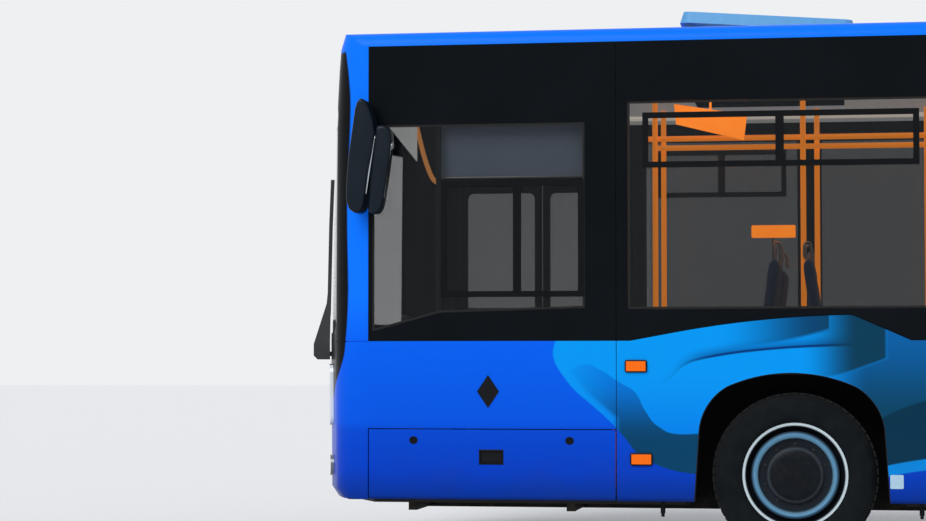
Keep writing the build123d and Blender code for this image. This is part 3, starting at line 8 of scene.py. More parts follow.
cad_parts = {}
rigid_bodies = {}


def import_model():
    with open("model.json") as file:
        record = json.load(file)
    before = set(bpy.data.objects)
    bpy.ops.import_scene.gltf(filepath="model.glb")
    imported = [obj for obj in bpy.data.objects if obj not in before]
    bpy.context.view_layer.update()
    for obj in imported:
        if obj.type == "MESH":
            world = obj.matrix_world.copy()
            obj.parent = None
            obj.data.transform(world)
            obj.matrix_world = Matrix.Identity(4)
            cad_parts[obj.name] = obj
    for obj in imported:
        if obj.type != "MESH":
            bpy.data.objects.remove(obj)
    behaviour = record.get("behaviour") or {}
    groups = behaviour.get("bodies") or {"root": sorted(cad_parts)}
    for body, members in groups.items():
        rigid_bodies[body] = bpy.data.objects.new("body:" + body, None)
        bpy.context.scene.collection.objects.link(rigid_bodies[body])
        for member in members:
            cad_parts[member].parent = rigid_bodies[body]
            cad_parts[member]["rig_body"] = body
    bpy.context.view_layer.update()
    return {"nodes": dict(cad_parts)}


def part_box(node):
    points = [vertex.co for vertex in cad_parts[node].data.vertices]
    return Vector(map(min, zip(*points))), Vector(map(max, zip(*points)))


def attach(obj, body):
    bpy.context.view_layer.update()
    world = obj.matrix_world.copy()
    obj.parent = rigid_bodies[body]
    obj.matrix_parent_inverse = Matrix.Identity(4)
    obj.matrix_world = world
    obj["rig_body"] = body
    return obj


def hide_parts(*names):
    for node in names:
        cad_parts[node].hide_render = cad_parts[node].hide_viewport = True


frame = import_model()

nodes = frame["nodes"]

# The camera stands beside the road, level with the cab, and follows the bus from its driver's side.
# It looks a little forward and slightly up through a long lens, so the tail is outside the picture.
camera_place = Vector((-2.8305, -14.974, 1.088))
camera_yaw = radians(9.1)
camera_pitch = radians(2.53)
camera_lens = 93.3
sensor_w = 36.0
photo_w, photo_h = 926, 521
bpy.ops.object.camera_add(location=camera_place, rotation=(pi / 2 + camera_pitch, 0, camera_yaw))
camera = bpy.context.object
camera.data.lens = camera_lens
camera.data.sensor_width = sensor_w
bpy.context.scene.camera = camera
bpy.context.view_layer.update()


def place_behind(px, py, y):
    """The place on the upright plane at y that lies behind a pixel of the photograph."""
    reach = camera_lens / sensor_w * photo_w
    ray = Vector(((px - photo_w / 2) / reach, (photo_h / 2 - py) / reach, -1.0))
    ray = camera.matrix_world.to_3x3() @ ray
    return camera_place + ray * ((y - camera_place.y) / ray.y)


# The studio: a plain pale floor that keeps the shadow, a pale surrounding that the glass and the
# paint mirror, and one wide soft lamp from above the camera's left shoulder.
pale = (0.86, 0.87, 0.89, 1.0)
fill_strength = 0.62
lamp_strength = 1.9
bpy.ops.mesh.primitive_plane_add(size=240.0)
studio_floor = bpy.context.object
studio_floor.name = "studio_floor"
world = bpy.data.worlds.new("studio")
bpy.context.scene.world = world
world.use_nodes = True
sky = world.node_tree
rays = sky.nodes.new("ShaderNodeLightPath")
seen = rays.outputs["Is Camera Ray"]
for kind in ("Is Glossy Ray", "Is Transmission Ray"):
    either = sky.nodes.new("ShaderNodeMath")
    either.operation = "MAXIMUM"
    sky.links.new(seen, either.inputs[0])
    sky.links.new(rays.outputs[kind], either.inputs[1])
    seen = either.outputs[0]
level = sky.nodes.new("ShaderNodeMapRange")
sky.links.new(seen, level.inputs["Value"])
level.inputs["To Min"].default_value = fill_strength
level.inputs["To Max"].default_value = 1.0
backdrop = sky.nodes["Background"]
backdrop.inputs["Color"].default_value = pale
sky.links.new(level.outputs["Result"], backdrop.inputs["Strength"])
bpy.ops.object.light_add(type="SUN", rotation=(radians(50), 0, radians(-24)))
lamp = bpy.context.object
lamp.data.energy = lamp_strength
lamp.data.angle = radians(40)
bpy.context.scene.view_settings.view_transform = "Standard"


# The chassis: rails, cross tubes and tow bars of welded steel under the floor, dipped in black paint
# and dusty from the road. The floor stands on it.
class Value:
    """A number or colour that varies over a surface. Arithmetic on it adds Math nodes."""

    def __init__(self, finish, socket):
        self.finish = finish
        self.socket = socket

    def math(self, operation, *others):
        return self.finish.node("Math", (self, *others), operation=operation)

    def __add__(self, other):
        return self.math("ADD", other)

    def __sub__(self, other):
        return self.math("SUBTRACT", other)

    def __rsub__(self, other):
        return self.finish.node("Math", (other, self), operation="SUBTRACT")

    def __mul__(self, other):
        return self.math("MULTIPLY", other)

    def __truediv__(self, other):
        return self.math("DIVIDE", other)

    def __pow__(self, other):
        return self.math("POWER", other)

    __radd__ = __add__
    __rmul__ = __mul__

    def at_least(self, other):
        return self.math("MAXIMUM", other)

    def at_most(self, other):
        return self.math("MINIMUM", other)

    def wave(self, per_metre):
        """Ridges from -1 to 1, as many radians to the metre."""
        return (self * per_metre).math("SINE")

    def step(self, low, high):
        """Goes smoothly from 0 at low to 1 at high."""
        values = {"Value": self, "From Min": low, "From Max": high}
        return self.finish.node("MapRange", values, interpolation_type="SMOOTHSTEP")

    def edge(self, soft=0.006):
        """Goes from 0 to 1 where it passes zero, as sharp as sprayed paint behind tape."""
        return self.step(-soft, soft)

    def curve(self, points):
        """A smooth curve through places and heights given in metres."""
        places, heights = zip(*points)
        start, span_x = places[0], places[-1] - places[0]
        low, rise = min(heights), max(heights) - min(heights)
        knots = [((a - start) / span_x, (b - low) / rise) for a, b in points]
        along = {"Value": (self - start) / span_x}
        return self.finish.node("FloatCurve", along, points=knots) * rise + low


class Finish:
    """One material: its shader, its slot in the record, and the place on the piece as values."""

    def __init__(self, name, slot=None, **constants):
        self.slot = slot
        self.material = bpy.data.materials.new(name)
        self.material.use_nodes = True
        self.tree = self.material.node_tree
        self.shader = self.tree.nodes["Principled BSDF"]
        self.place = self.node("TexCoord", output="Object")
        self.x, self.y, self.z = (self.node("SeparateXYZ", (self.place,), output=i) for i in range(3))
        self.set(**constants)

    def node(self, kind, values=(), output=0, stops=(), points=(), sharp=False, **settings):
        """Adds a node: its settings first, then the values or links of its sockets."""
        made = self.tree.nodes.new("ShaderNode" + kind)
        for setting, value in settings.items():
            setattr(made, setting, value)
        for place, colour in stops[2:]:
            made.color_ramp.elements.new(place)
        for element, (place, colour) in zip(made.color_ramp.elements if stops else (), stops):
            element.position = place
            element.color = colour
        if sharp:
            made.color_ramp.interpolation = "CONSTANT"
        if points:
            knots = made.mapping.curves[0].points
            for place, height in points[1:-1]:
                knots.new(place, height)
            for knot, (place, height) in zip(knots, points):
                knot.location = (place, height)
            made.mapping.update()
        for socket, value in values.items() if isinstance(values, dict) else enumerate(values):
            self.feed(made.inputs[socket], value)
        return Value(self, made.outputs[output])

    def feed(self, socket, value):
        """Links a varying value to a socket, or sets a fixed one on it."""
        if isinstance(value, Value):
            self.tree.links.new(value.socket, socket)
        else:
            socket.default_value = value

    def set(self, **sockets):
        """Feeds the shader's sockets, named with underscores for their spaces."""
        for name, value in sockets.items():
            self.feed(self.shader.inputs[name.replace("_", " ")], value)
        return self

    def noise(self, scale, detail=3.0, stretch=(1.0, 1.0, 1.0)):
        """Cloudy noise from 0 to 1. Its grains are about 1 / scale metres wide."""
        place = self.node("Mapping", {"Vector": self.place, "Scale": stretch})
        return self.node("TexNoise", {"Vector": place, "Scale": scale, "Detail": detail})

    def cells(self, scale, feature="F1"):
        """The distance to the nearest of many scattered dots, for flecks and pitted skins."""
        return self.node("TexVoronoi", {"Vector": self.place, "Scale": scale}, feature=feature)

    def mix(self, share, first, second):
        """One colour going over to another as share goes from 0 to 1."""
        return self.node("Mix", {0: share, 6: first, 7: second}, output=2, data_type="RGBA")

    def ramp(self, place, stops, sharp=False):
        """Colours laid out along a value."""
        return self.node("ValToRGB", (place,), stops=stops, sharp=sharp)

    def bump(self, height, depth):
        """Raises the surface by height times depth, in metres."""
        return self.set(Normal=self.node("Bump", {"Height": height, "Distance": depth, "Strength": 1.0}))

    def coat(self, clouds, first, second, grain=None, *, rough, vary, depth):
        """Two tones in clouds, under a grain that varies the roughness and raises the surface.

        Clouds and grain are values, or the scale and detail of a noise. Clouds alone do for both."""
        clouds = self.noise(*clouds) if isinstance(clouds, tuple) else clouds
        grain = self.noise(*grain) if isinstance(grain, tuple) else grain or clouds
        self.set(Base_Color=self.mix(clouds, first, second), Roughness=grain * vary + rough)
        return self.bump(grain, depth)


def tone(red, green, blue):
    """A colour given as it looks, in steps of 255, made linear."""
    parts = [part / 255 for part in (red, green, blue)]
    return (*(p / 12.92 if p <= 0.04045 else ((p + 0.055) / 1.055) ** 2.4 for p in parts), 1.0)


def dress(finish, *pieces):
    """Gives pieces, or CAD nodes by name, their material."""
    for piece in pieces:
        coats = (nodes[piece] if isinstance(piece, str) else piece).data.materials
        coats.clear()
        coats.append(finish.material)


def dusty_metal(name, colour, dust, rough, slot=None):
    """Painted or cast metal under the floor, with road dust gathered in patches."""
    finish = Finish(name, slot, IOR=1.2)
    patches = finish.noise(7.0, 6.0).step(0.42, 0.72)
    fine = finish.noise(240.0, 3.0)
    colour = finish.mix(patches * 0.6 + fine * 0.15, colour, dust)
    finish.set(Base_Color=colour, Roughness=patches * 0.25 + rough)
    return finish.bump(fine + patches * 2.0, 0.0006)


road_dust = tone(72, 66, 58)
frame_paint = dusty_metal("frame_paint", tone(16, 16, 17), road_dust, 0.45)
dress(frame_paint, "underframe")


# Axles, knuckles and tie rod: forgings and castings, black and rough, with a smooth copy of each
# mesh so that bosses and tubes shade round. The engine block in the tail has the same cast skin.
def take(*pieces):
    """Selects these pieces alone and makes the first one active."""
    bpy.ops.object.select_all(action="DESELECT")
    for piece in pieces:
        piece.select_set(True)
    bpy.context.view_layer.objects.active = pieces[0]


def leave_edit():
    """Goes back to object mode, where pieces are added, joined and finished."""
    if bpy.context.mode != "OBJECT":
        bpy.ops.object.mode_set(mode="OBJECT")


def twin(name, mesh):
    """A new piece with its own copy of a mesh."""
    piece = bpy.data.objects.new(name, mesh.copy())
    bpy.context.collection.objects.link(piece)
    take(piece)
    return piece


def select_whole():
    """Selects all of the piece that is open in edit mode."""
    bpy.ops.mesh.select_all(action="SELECT")


same_point = 0.00002


def merge(distance=same_point):
    """Makes verts of the open piece that lie this close into one."""
    select_whole()
    bpy.ops.mesh.remove_doubles(threshold=distance)


def smooth(name, finish):
    """A copy of a node's mesh, merged and shaded smooth, that stands for the node."""
    piece = twin(name + "_piece", nodes[name].data)
    bpy.ops.mesh.customdata_custom_splitnormals_clear()
    bpy.ops.object.mode_set(mode="EDIT")
    merge()
    leave_edit()
    bpy.ops.object.shade_smooth_by_angle(angle=radians(32))
    dress(finish, piece)
    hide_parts(name)
    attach(piece, nodes[name]["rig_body"])


cast_iron = dusty_metal("cast_iron", tone(34, 33, 32), road_dust, 0.6, "axle_iron")
dress(cast_iron, "engine")
for name in ("front_axle", "rear_axle", "left_knuckle", "right_knuckle", "tie_rod"):
    smooth(name, cast_iron)


# Tyres: black rubber, each a carcass spun from its section with a ring of moulded tread blocks, worn
# dusty on the tread and dark on the walls. Twin tyres are one piece and turn together.
def pick(piece, kind, wanted=lambda item: True):
    """Selects the verts, edges or faces of a piece that a test accepts, in edit mode."""
    if bpy.context.mode == "OBJECT":
        take(piece)
        bpy.ops.object.mode_set(mode="EDIT")
    bpy.ops.mesh.select_mode(type={"verts": "VERT", "edges": "EDGE", "faces": "FACE"}[kind])
    shape = bmesh.from_edit_mesh(piece.data)
    chosen = [item for item in getattr(shape, kind) if wanted(item)]
    for item in (*shape.faces, *shape.edges, *shape.verts):
        item.select = False
    for item in chosen:
        item.select_set(True)
    shape.select_flush_mode()
    bmesh.update_edit_mesh(piece.data)


def span(edge):
    """How far an edge runs along x, y and z."""
    way = edge.verts[0].co - edge.verts[1].co
    return Vector((abs(way.x), abs(way.y), abs(way.z)))


def face_out():
    """Turns all faces of a piece outwards."""
    select_whole()
    bpy.ops.mesh.normals_make_consistent(inside=False)


def block(place, size, rotation=(0, 0, 0)):
    """A box of a size about a place."""
    leave_edit()
    bpy.ops.mesh.primitive_cube_add(size=1.0, location=place, rotation=rotation)
    piece = bpy.context.object
    piece.scale = size
    bpy.ops.object.transform_apply()
    return piece


def finished(piece, name, finish, body="body", smooth_angle=None):
    """Closes a piece: its place goes into its mesh, and it gets its name, material and body."""
    leave_edit()
    take(piece)
    bpy.ops.object.transform_apply()
    if smooth_angle:
        bpy.ops.object.shade_smooth_by_angle(angle=radians(smooth_angle))
    piece.name = piece.data.name = name
    dress(finish, piece)
    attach(piece, body)
    return piece


def joined(pieces):
    """Joins pieces into the first one."""
    leave_edit()
    take(*pieces)
    bpy.ops.object.join()
    return pieces[0]


def ringed(count, centre):
    """Repeats what is selected round a wheel's axis. The last copy merges with the first."""
    bpy.ops.mesh.spin(steps=count, dupli=True, angle=2 * pi, center=centre, axis=(0, 1, 0))
    merge(0.0001)


def wheel_finish(name, slot, middle):
    """A finish that knows its distance from a wheel's axis."""
    finish = Finish(name, slot)
    x = finish.x - middle.x
    z = finish.z - middle.z
    finish.radius = (x * x + z * z) ** 0.5
    return finish


half_w, wall_w, wall_from = 0.137, 0.016, 0.03
bead_r, bead_half_w = 0.2865, 0.098
shoulder_round, round_steps = 0.036, 96
bulge, bulge_half_h, bulge_rise = 0.0155, 0.085, 0.01
near = 0.002
tread_depth, tread_half_w, tread_sink = 0.011, 0.104, 0.001
tread_rows, tread_pitches = 5, 58
groove_w, lug_taper = 0.009, (0.9, 0.92, 1.0)
wheels = {
    "front_left_tyre": "front_left_wheel",
    "front_right_tyre": "front_right_wheel",
    "rear_left_tyres": "rear_left_wheels",
    "rear_right_tyres": "rear_right_wheels",
}
for node, body in wheels.items():
    low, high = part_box(node)
    middle = (low + high) / 2
    tyre_r = (high.z - low.z) / 2
    carcass_r = tyre_r - tread_depth
    rows = (middle.y,) if node.startswith("front") else (low.y + half_w, high.y - half_w)
    rubber = wheel_finish(node + "_rubber", "tyre", middle)
    rings = rubber.radius.wave(330.0)
    wall = rubber.radius.step(0.30, 0.32) * (1.0 - rubber.radius.step(0.425, 0.435))
    dust = rubber.noise(14.0, 5.0).step(0.35, 0.8)
    fine = rubber.noise(120.0, 2.0)
    on_tread = rubber.radius.step(0.436, 0.452)
    rubber.set(
        Base_Color=rubber.mix(dust * 0.2 + on_tread * 0.3, tone(14, 19, 23), tone(48, 48, 47)),
        Roughness=dust * 0.2 + 0.62,
        IOR=1.14,
    )
    rubber.bump(rings * wall * 0.3 + fine * 0.1, 0.0005)
    parts = []
    for y in rows:
        axis_at = (middle.x, y, middle.z)
        section_z = middle.z + (bead_r + carcass_r) / 2
        leave_edit()
        bpy.ops.mesh.primitive_plane_add(
            size=1.0, location=(middle.x, y, section_z), rotation=(0, pi / 2, 0)
        )
        carcass = bpy.context.object
        carcass.scale = (carcass_r - bead_r, 2 * (half_w - wall_w), 1.0)
        bpy.ops.object.transform_apply()
        pick(carcass, "verts", lambda v: v.co.z > section_z)
        bpy.ops.mesh.bevel(offset=shoulder_round, segments=4, affect="VERTICES")
        pick(carcass, "edges", lambda e: span(e).z > 0.08)
        bpy.ops.mesh.subdivide(number_cuts=5)
        bulge_z = section_z + bulge_rise
        for point in bmesh.from_edit_mesh(carcass.data).verts:
            hand = 1 if point.co.y > y else -1
            if abs(point.co.y - y) > half_w - wall_from:
                point.co.y += hand * bulge * max(0.0, 1 - ((point.co.z - bulge_z) / bulge_half_h) ** 2)
            if point.co.z < middle.z + bead_r + near:
                point.co.y = y + hand * bead_half_w
        bmesh.update_edit_mesh(carcass.data)
        select_whole()
        bpy.ops.mesh.delete(type="ONLY_FACE")
        inner, outer = middle.z + bead_r + 2 * near, middle.z + carcass_r - 2 * near
        pick(carcass, "edges", lambda e: span(e).y > 0.1 and inner < e.verts[0].co.z < outer)
        bpy.ops.mesh.delete(type="EDGE")
        select_whole()
        bpy.ops.mesh.spin(steps=round_steps, angle=2 * pi, center=axis_at, axis=(0, 1, 0))
        merge(near / 10)
        face_out()
        parts.append(carcass)
        row_w = 2 * tread_half_w / tread_rows
        pitch = 2 * pi * tyre_r / tread_pitches
        lug_z = middle.z + tyre_r - tread_depth / 2 - tread_sink
        for row in range(tread_rows):
            row_y = y - tread_half_w + (row + 0.5) * row_w
            lug = block((middle.x, row_y, lug_z), (pitch - groove_w, row_w - groove_w, tread_depth))
            pick(lug, "faces", lambda f: f.normal.z > 0.9)
            bpy.ops.transform.resize(value=lug_taper)
            select_whole()
            if row % 2:
                half_pitch = pi / tread_pitches
                bpy.ops.transform.rotate(value=half_pitch, orient_axis="Y", center_override=axis_at)
            ringed(tread_pitches, axis_at)
            parts.append(lug)
    piece = finished(joined(parts), node + "_piece", rubber, body, smooth_angle=38)
    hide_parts(node)


# Wheels: pressed steel discs, painted silver-blue, with a bright rolled edge and a raised ring whose light
# blue is a painted reflection, the same all round. The hub and the well between the rings are darker. Ten
# nuts hold each wheel.
def drum(place, radius, depth, sides, axis, scale=(1, 1, 1)):
    """A bar with many sides about a place, lying along an axis."""
    leave_edit()
    rotation = {"X": (0, pi / 2, 0), "Y": (pi / 2, 0, 0), "Z": (0, 0, 0)}[axis]
    bpy.ops.mesh.primitive_cylinder_add(
        vertices=sides, radius=radius, depth=depth, location=place, rotation=rotation
    )
    piece = bpy.context.object
    piece.scale = scale
    bpy.ops.object.transform_apply()
    return piece


def move(*way):
    """Moves what is selected."""
    bpy.ops.transform.translate(value=way)


def draw_out(*way):
    """Extrudes what is selected."""
    bpy.ops.mesh.extrude_region_move(TRANSFORM_OT_translate={"value": way})


def worked(piece, out, *steps, both=False):
    """Works the face that looks out, or also the opposite one, by insets, moves, draws and scales."""
    out = Vector(out)
    pick(piece, "faces", lambda f: f.normal.dot(out) > 0.9 or both and f.normal.dot(out) < -0.9)
    for step, size in steps:
        if step == "inset":
            bpy.ops.mesh.inset(thickness=size)
        elif step == "scale":
            bpy.ops.transform.resize(value=size)
        else:
            {"move": move, "draw": draw_out}[step](*(out * size))


rims = {
    "front_left_rim": "front_left_wheel",
    "front_right_rim": "front_right_wheel",
    "rear_left_rims": "rear_left_wheels",
    "rear_right_rims": "rear_right_wheels",
}
nut_count, nut_ring_r, nut_r, nut_h, nut_lift = 10, 0.178, 0.0165, 0.026, 0.006
disc_out = {"front": 0.043, "rear": 0.022}
nut_steps = (("inset", 0.004), ("draw", 0.007), ("inset", 0.003), ("move", 0.003))
rim_r = 0.3
# Tones of the disc from the axis out, as shares of rim_r. The light blue of the raised ring near 0.77 is a
# painted reflection, the same all round.
rim_tones_with_painted_sheen = (
    (0.0, tone(12, 16, 21)),
    (0.46, tone(14, 19, 25)),
    (0.52, tone(58, 66, 73)),
    (0.55, tone(22, 28, 36)),
    (0.68, tone(26, 33, 42)),
    (0.72, tone(84, 122, 146)),
    (0.77, tone(92, 146, 182)),
    (0.82, tone(36, 50, 64)),
    (0.86, tone(18, 23, 30)),
    (0.935, tone(16, 20, 26)),
    (0.96, tone(198, 214, 220)),
    (1.0, tone(190, 204, 210)),
)
dark_steel = dusty_metal("dark_steel", tone(30, 35, 41), tone(58, 55, 50), 0.4, "rim_steel")
for node, body in rims.items():
    low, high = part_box(node)
    middle = (low + high) / 2
    steel = wheel_finish(node + "_steel", "rim_steel", middle)
    dust = steel.noise(30.0, 6.0).step(0.4, 0.8)
    steel.set(
        Base_Color=steel.mix(dust * 0.12, steel.ramp(steel.radius / rim_r, rim_tones_with_painted_sheen), tone(60, 55, 50)),
        Roughness=dust * 0.25 + 0.34,
        IOR=1.18,
    )
    steel.bump(steel.noise(300.0, 2.0), 0.0004)
    smooth(node, steel)
    outward = 1.0 if middle.y > 0 else -1.0
    disc_y = middle.y + outward * disc_out[node.split("_")[0]]
    nut_at = (middle.x, disc_y + outward * nut_lift, middle.z + nut_ring_r)
    nuts = drum(nut_at, nut_r, nut_h, 6, "Y")
    worked(nuts, (0, outward, 0), *nut_steps)
    select_whole()
    ringed(nut_count, (middle.x, disc_y, middle.z))
    finished(nuts, node + "_nuts", dark_steel, body)


# The floor and its raised parts: plywood under grey speckled vinyl. From outside, the floor's edge and
# the wheel boxes are sprayed black with a rough sealing coat.
floor_top = 0.35
vinyl = Finish("floor_vinyl", IOR=1.4)
specks = 1.0 - vinyl.cells(260.0).step(0.10, 0.16)
under = 1.0 - vinyl.z.step(floor_top - 0.005, floor_top - 0.001)
outer = (vinyl.y * vinyl.y).step(1.12, 1.125)
vinyl.set(
    Base_Color=vinyl.mix(
        under.at_least(outer), vinyl.mix(specks, tone(66, 72, 80), tone(120, 126, 132)), tone(10, 10, 11)
    ),
    Roughness=vinyl.noise(3.0, 5.0) * 0.2 + 0.5,
)
vinyl.bump(vinyl.noise(500.0, 2.0), 0.0006)
dress(vinyl, "floor")
sealer = Finish("sealing_coat", "rubber", IOR=1.35)
sealer.coat((160.0, 4.0), tone(9, 9, 10), tone(20, 20, 21), rough=0.7, vary=0.2, depth=0.002)
dress(sealer, "floor_boxes")

# Ceiling and cab partition: sheets of laminate with a fine leather grain, pale grey overhead and dark grey
# behind the driver. The ceiling's laminate glows a little of itself: painted light, for the light that the
# strips throw on it.
glowing_laminate = Finish("glowing_laminate", "liner", IOR=1.4, Emission_Color=tone(206, 208, 206), Emission_Strength=0.85)
glowing_laminate.coat(
    (2.0, 4.0), tone(176, 176, 172), tone(196, 196, 192), (700.0, 2.0), rough=0.45, vary=0.15, depth=0.0005
)
dress(glowing_laminate, "ceiling")
cab_wall = Finish("cab_wall", IOR=1.4)
cab_wall.coat(
    (2.0, 4.0), tone(58, 60, 64), tone(70, 72, 76), (600.0, 2.0), rough=0.45, vary=0.2, depth=0.0006
)
dress(cab_wall, "cab_partition")

# Driver's desk, wheel and column: dark grey moulded plastic with a fine pitted grain. The seat frames
# are of the same plastic.
moulded = Finish("moulded_plastic", "black_plastic", IOR=1.4)
pits = moulded.cells(900.0, "SMOOTH_F1")
moulded.coat((3.0, 5.0), tone(27, 28, 30), tone(40, 41, 44), pits, rough=0.5, vary=0.2, depth=0.0005)
smooth("dashboard", moulded)

# Handrails: steel tubes with a thick orange coat, smooth and glossy, from floor to ceiling and along the
# aisle. The coat glows a little of itself: painted light, for the rails are no lamps. The seats' handles
# are bent from thinner bright tube.
orange = Finish("glowing_orange_coat", "orange_rail", Coat_Weight=0.6, Coat_Roughness=0.08)
worn = orange.noise(9.0, 5.0).step(0.35, 0.8)
# Base colour with worn patches, and a glow of its own that is painted light.
orange.set(
    Base_Color=orange.mix(worn * 0.3, tone(255, 132, 8), tone(226, 98, 4)),
    Roughness=worn * 0.15 + 0.28,
    Emission_Color=tone(255, 146, 20),
    Emission_Strength=1.75,
)
orange.bump(orange.noise(60.0, 2.0), 0.0004)
smooth("handrails", orange)
bright_tube = Finish("bright_tube", "bright_steel", Metallic=0.85)
brushed = bright_tube.noise(380.0, 3.0, stretch=(1, 1, 0.1))
bright_tube.coat(brushed, tone(176, 174, 168), tone(208, 206, 200), rough=0.22, vary=0.15, depth=0.0002)
smooth("seat_handles", bright_tube)
dress(moulded, "seat_frames")


# Inside fittings by the first seats: a bent orange sheet hung under the ceiling behind the cab, an orange
# moulded guard over the seat handles, and a tan sleeved grab rail beside the driver, whose ends turn in to
# the wall and to an upright bar in the quarter window. The orange sheet, its hanger and the guard glow
# strongly of themselves, and the sleeve glows a little: painted light, for none of them is a lamp.
def applied(piece, kind, **settings):
    """Adds a modifier to the active piece, sets it and applies it."""
    leave_edit()
    added = piece.modifiers.new(kind.lower(), kind)
    for setting, value in settings.items():
        setattr(added, setting, value)
    bpy.ops.object.modifier_apply(modifier=added.name)


def put_verts(piece, places):
    """Moves a piece's verts, in their order, to places."""
    pick(piece, "verts")
    for vert, place in zip(list(bmesh.from_edit_mesh(piece.data).verts), places):
        vert.co = place
    bmesh.update_edit_mesh(piece.data)


def plate(places, thickness, rounding):
    """A thin plate with four corners: bottom left, bottom right, top left, top right."""
    bpy.ops.mesh.primitive_plane_add(size=1.0)
    piece = bpy.context.object
    put_verts(piece, places)
    applied(piece, "SOLIDIFY", thickness=thickness)
    applied(piece, "BEVEL", width=rounding, segments=2)
    return piece


def bent_tube(places, radius):
    """A round tube on a smooth line through places."""
    bpy.ops.curve.primitive_nurbs_path_add()
    tube = bpy.context.object
    tube.data.splines.clear()
    line = tube.data.splines.new("NURBS")
    line.points.add(len(places) - 1)
    for point, place in zip(line.points, places):
        point.co = (*place, 1.0)
    line.order_u = 3
    line.use_endpoint_u = True
    tube.data.resolution_u = 6
    tube.data.bevel_depth = radius
    tube.data.bevel_resolution = 3
    tube.data.use_fill_caps = True
    bpy.ops.object.convert(target="MESH")
    return bpy.context.object


def soften(piece, width, wanted=lambda edge: True, segments=3):
    """Rounds the edges of a piece that a test accepts."""
    pick(piece, "edges", wanted)
    bpy.ops.mesh.bevel(offset=width, segments=segments)


# The orange of the sheet, its hanger and the guard glows of itself in patches: painted light.
lit_orange = Finish("lit_orange", "orange_rail", Emission_Strength=3.4)
glow = lit_orange.noise(5.0, 4.0)
lit_orange.coat(glow, tone(255, 140, 20), tone(236, 108, 8), rough=0.35, vary=0.2, depth=0.002)
lit_orange.set(Emission_Color=lit_orange.mix(glow, tone(255, 150, 34), tone(250, 124, 12)))
sheet_y, sheet_bend = -0.66, 0.16
guard_y, guard_size = -0.86, (0.255, 0.05, 0.072)
hanger_r, stalk_r, grab_r = 0.007, 0.009, 0.014
grab_y, wall_in_y = -1.14, -1.19
ceiling_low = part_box("ceiling")[0].z
sheet_pixels = ((676, 124), (744, 140), (672, 101), (746, 112))
sheet_corners = [place_behind(px, py, sheet_y) for px, py in sheet_pixels]
for corner in sheet_corners[2:]:
    corner.y += sheet_bend
finished(plate(sheet_corners, 0.004, 0.0015), "orange_sheet", lit_orange)
hanger_low = sum(sheet_corners[2:], Vector()) / 2
hanger_line = [hanger_low, hanger_low + Vector((0, 0, 0.06)), (*hanger_low.xy, ceiling_low)]
hanger = bent_tube(hanger_line, hanger_r)
finished(hanger, "orange_sheet_hanger", lit_orange, smooth_angle=40)
guard_at = place_behind(773.5, 231.5, guard_y)
guard = block(guard_at, guard_size)
worked(guard, (0, 1, 0), ("inset", 0.010), ("scale", (1.0, 1.12, 1.0)), both=True)
applied(guard, "BEVEL", width=0.008, segments=3)
finished(guard, "seat_guard", lit_orange, smooth_angle=40)
stalk = bent_tube([guard_at - Vector((0, 0, drop)) for drop in (0.03, 0.2, 0.55)], stalk_r)
finished(stalk, "seat_guard_stalk", bright_tube, smooth_angle=40)
sleeve = Finish("tan_sleeve", "orange_rail", IOR=1.3)
# The sleeve glows a little of itself: painted light.
sleeve.set(Emission_Color=tone(226, 148, 76), Emission_Strength=0.9)
ridges = sleeve.z.wave(500.0)
sleeve.coat((40.0, 3.0), tone(214, 150, 84), tone(170, 104, 48), ridges, rough=0.5, vary=0.1, depth=0.0006)
bar_w, bar_deep, bar_low, bar_high = 0.026, 0.044, 1.36, 2.66
bar_x = place_behind(438.5, 185, wall_in_y - bar_deep / 2).x
grab_pixels = ((414, 116), (418, 132), (424, 157), (431.5, 178), (437, 183))
grab_line = [place_behind(px, py, grab_y) for px, py in grab_pixels]
grab_line.insert(0, Vector((grab_line[0].x - 0.01, wall_in_y - 0.005, grab_line[0].z + 0.10)))
grab_line.append(Vector((bar_x, wall_in_y - 0.005, grab_line[-1].z)))
finished(bent_tube(grab_line, grab_r), "cab_grab_rail", sleeve, smooth_angle=40)
bar_at = (bar_x, wall_in_y - bar_deep / 2, (bar_low + bar_high) / 2)
bar = block(bar_at, (bar_w, bar_deep, bar_high - bar_low))
soften(bar, 0.006, lambda e: span(e).z > 0.1)
finished(bar, "quarter_bar", moulded, smooth_angle=40)

# Light strips under the ceiling: two long opal covers, one over each row of seats, bevelled along their
# lower edges, that glow of themselves.
opal = Finish("opal_cover", "lamp_clear", Roughness=0.4)
cells = opal.cells(30.0)
opal.set(
    Base_Color=opal.mix(cells, tone(240, 240, 236), tone(222, 222, 218)),
    Emission_Color=tone(255, 246, 232),
    Emission_Strength=1.3,
)
opal.bump(cells, 0.0003)
strip_x, strip_y = 0.55, 0.72
strip_l, strip_w, strip_h = 9.6, 0.12, 0.018
for side_name, hand in (("left", -1), ("right", 1)):
    strip = block((strip_x, hand * strip_y, ceiling_low - strip_h / 2), (strip_l, strip_w, strip_h))
    soften(strip, strip_h / 2, lambda e: all(v.co.z < ceiling_low - 0.9 * strip_h for v in e.verts))
    finished(strip, f"{side_name}_light_strip", opal, smooth_angle=40)


# Seats: each place has a foam cushion and a foam back under navy woven cloth with a paler fleck. The
# covers are blown up by a short cloth simulation, once for each kind, and copied to every place.
def islands(name):
    """The corners of each separate solid of a node, as lists of places."""
    shape = bmesh.new()
    shape.from_mesh(nodes[name].data)
    bmesh.ops.remove_doubles(shape, verts=shape.verts, dist=same_point)
    visited, found = set(), []
    for start in shape.verts:
        front, island = [start], []
        while front:
            vert = front.pop()
            if vert not in visited:
                visited.add(vert)
                island.append(vert.co.copy())
                front.extend(edge.other_vert(vert) for edge in vert.link_edges)
        if island:
            found.append(island)
    shape.free()
    return sorted(found, key=lambda i: tuple(round(sum(p[k] for p in i) / len(i), 2) for k in (0, 1)))


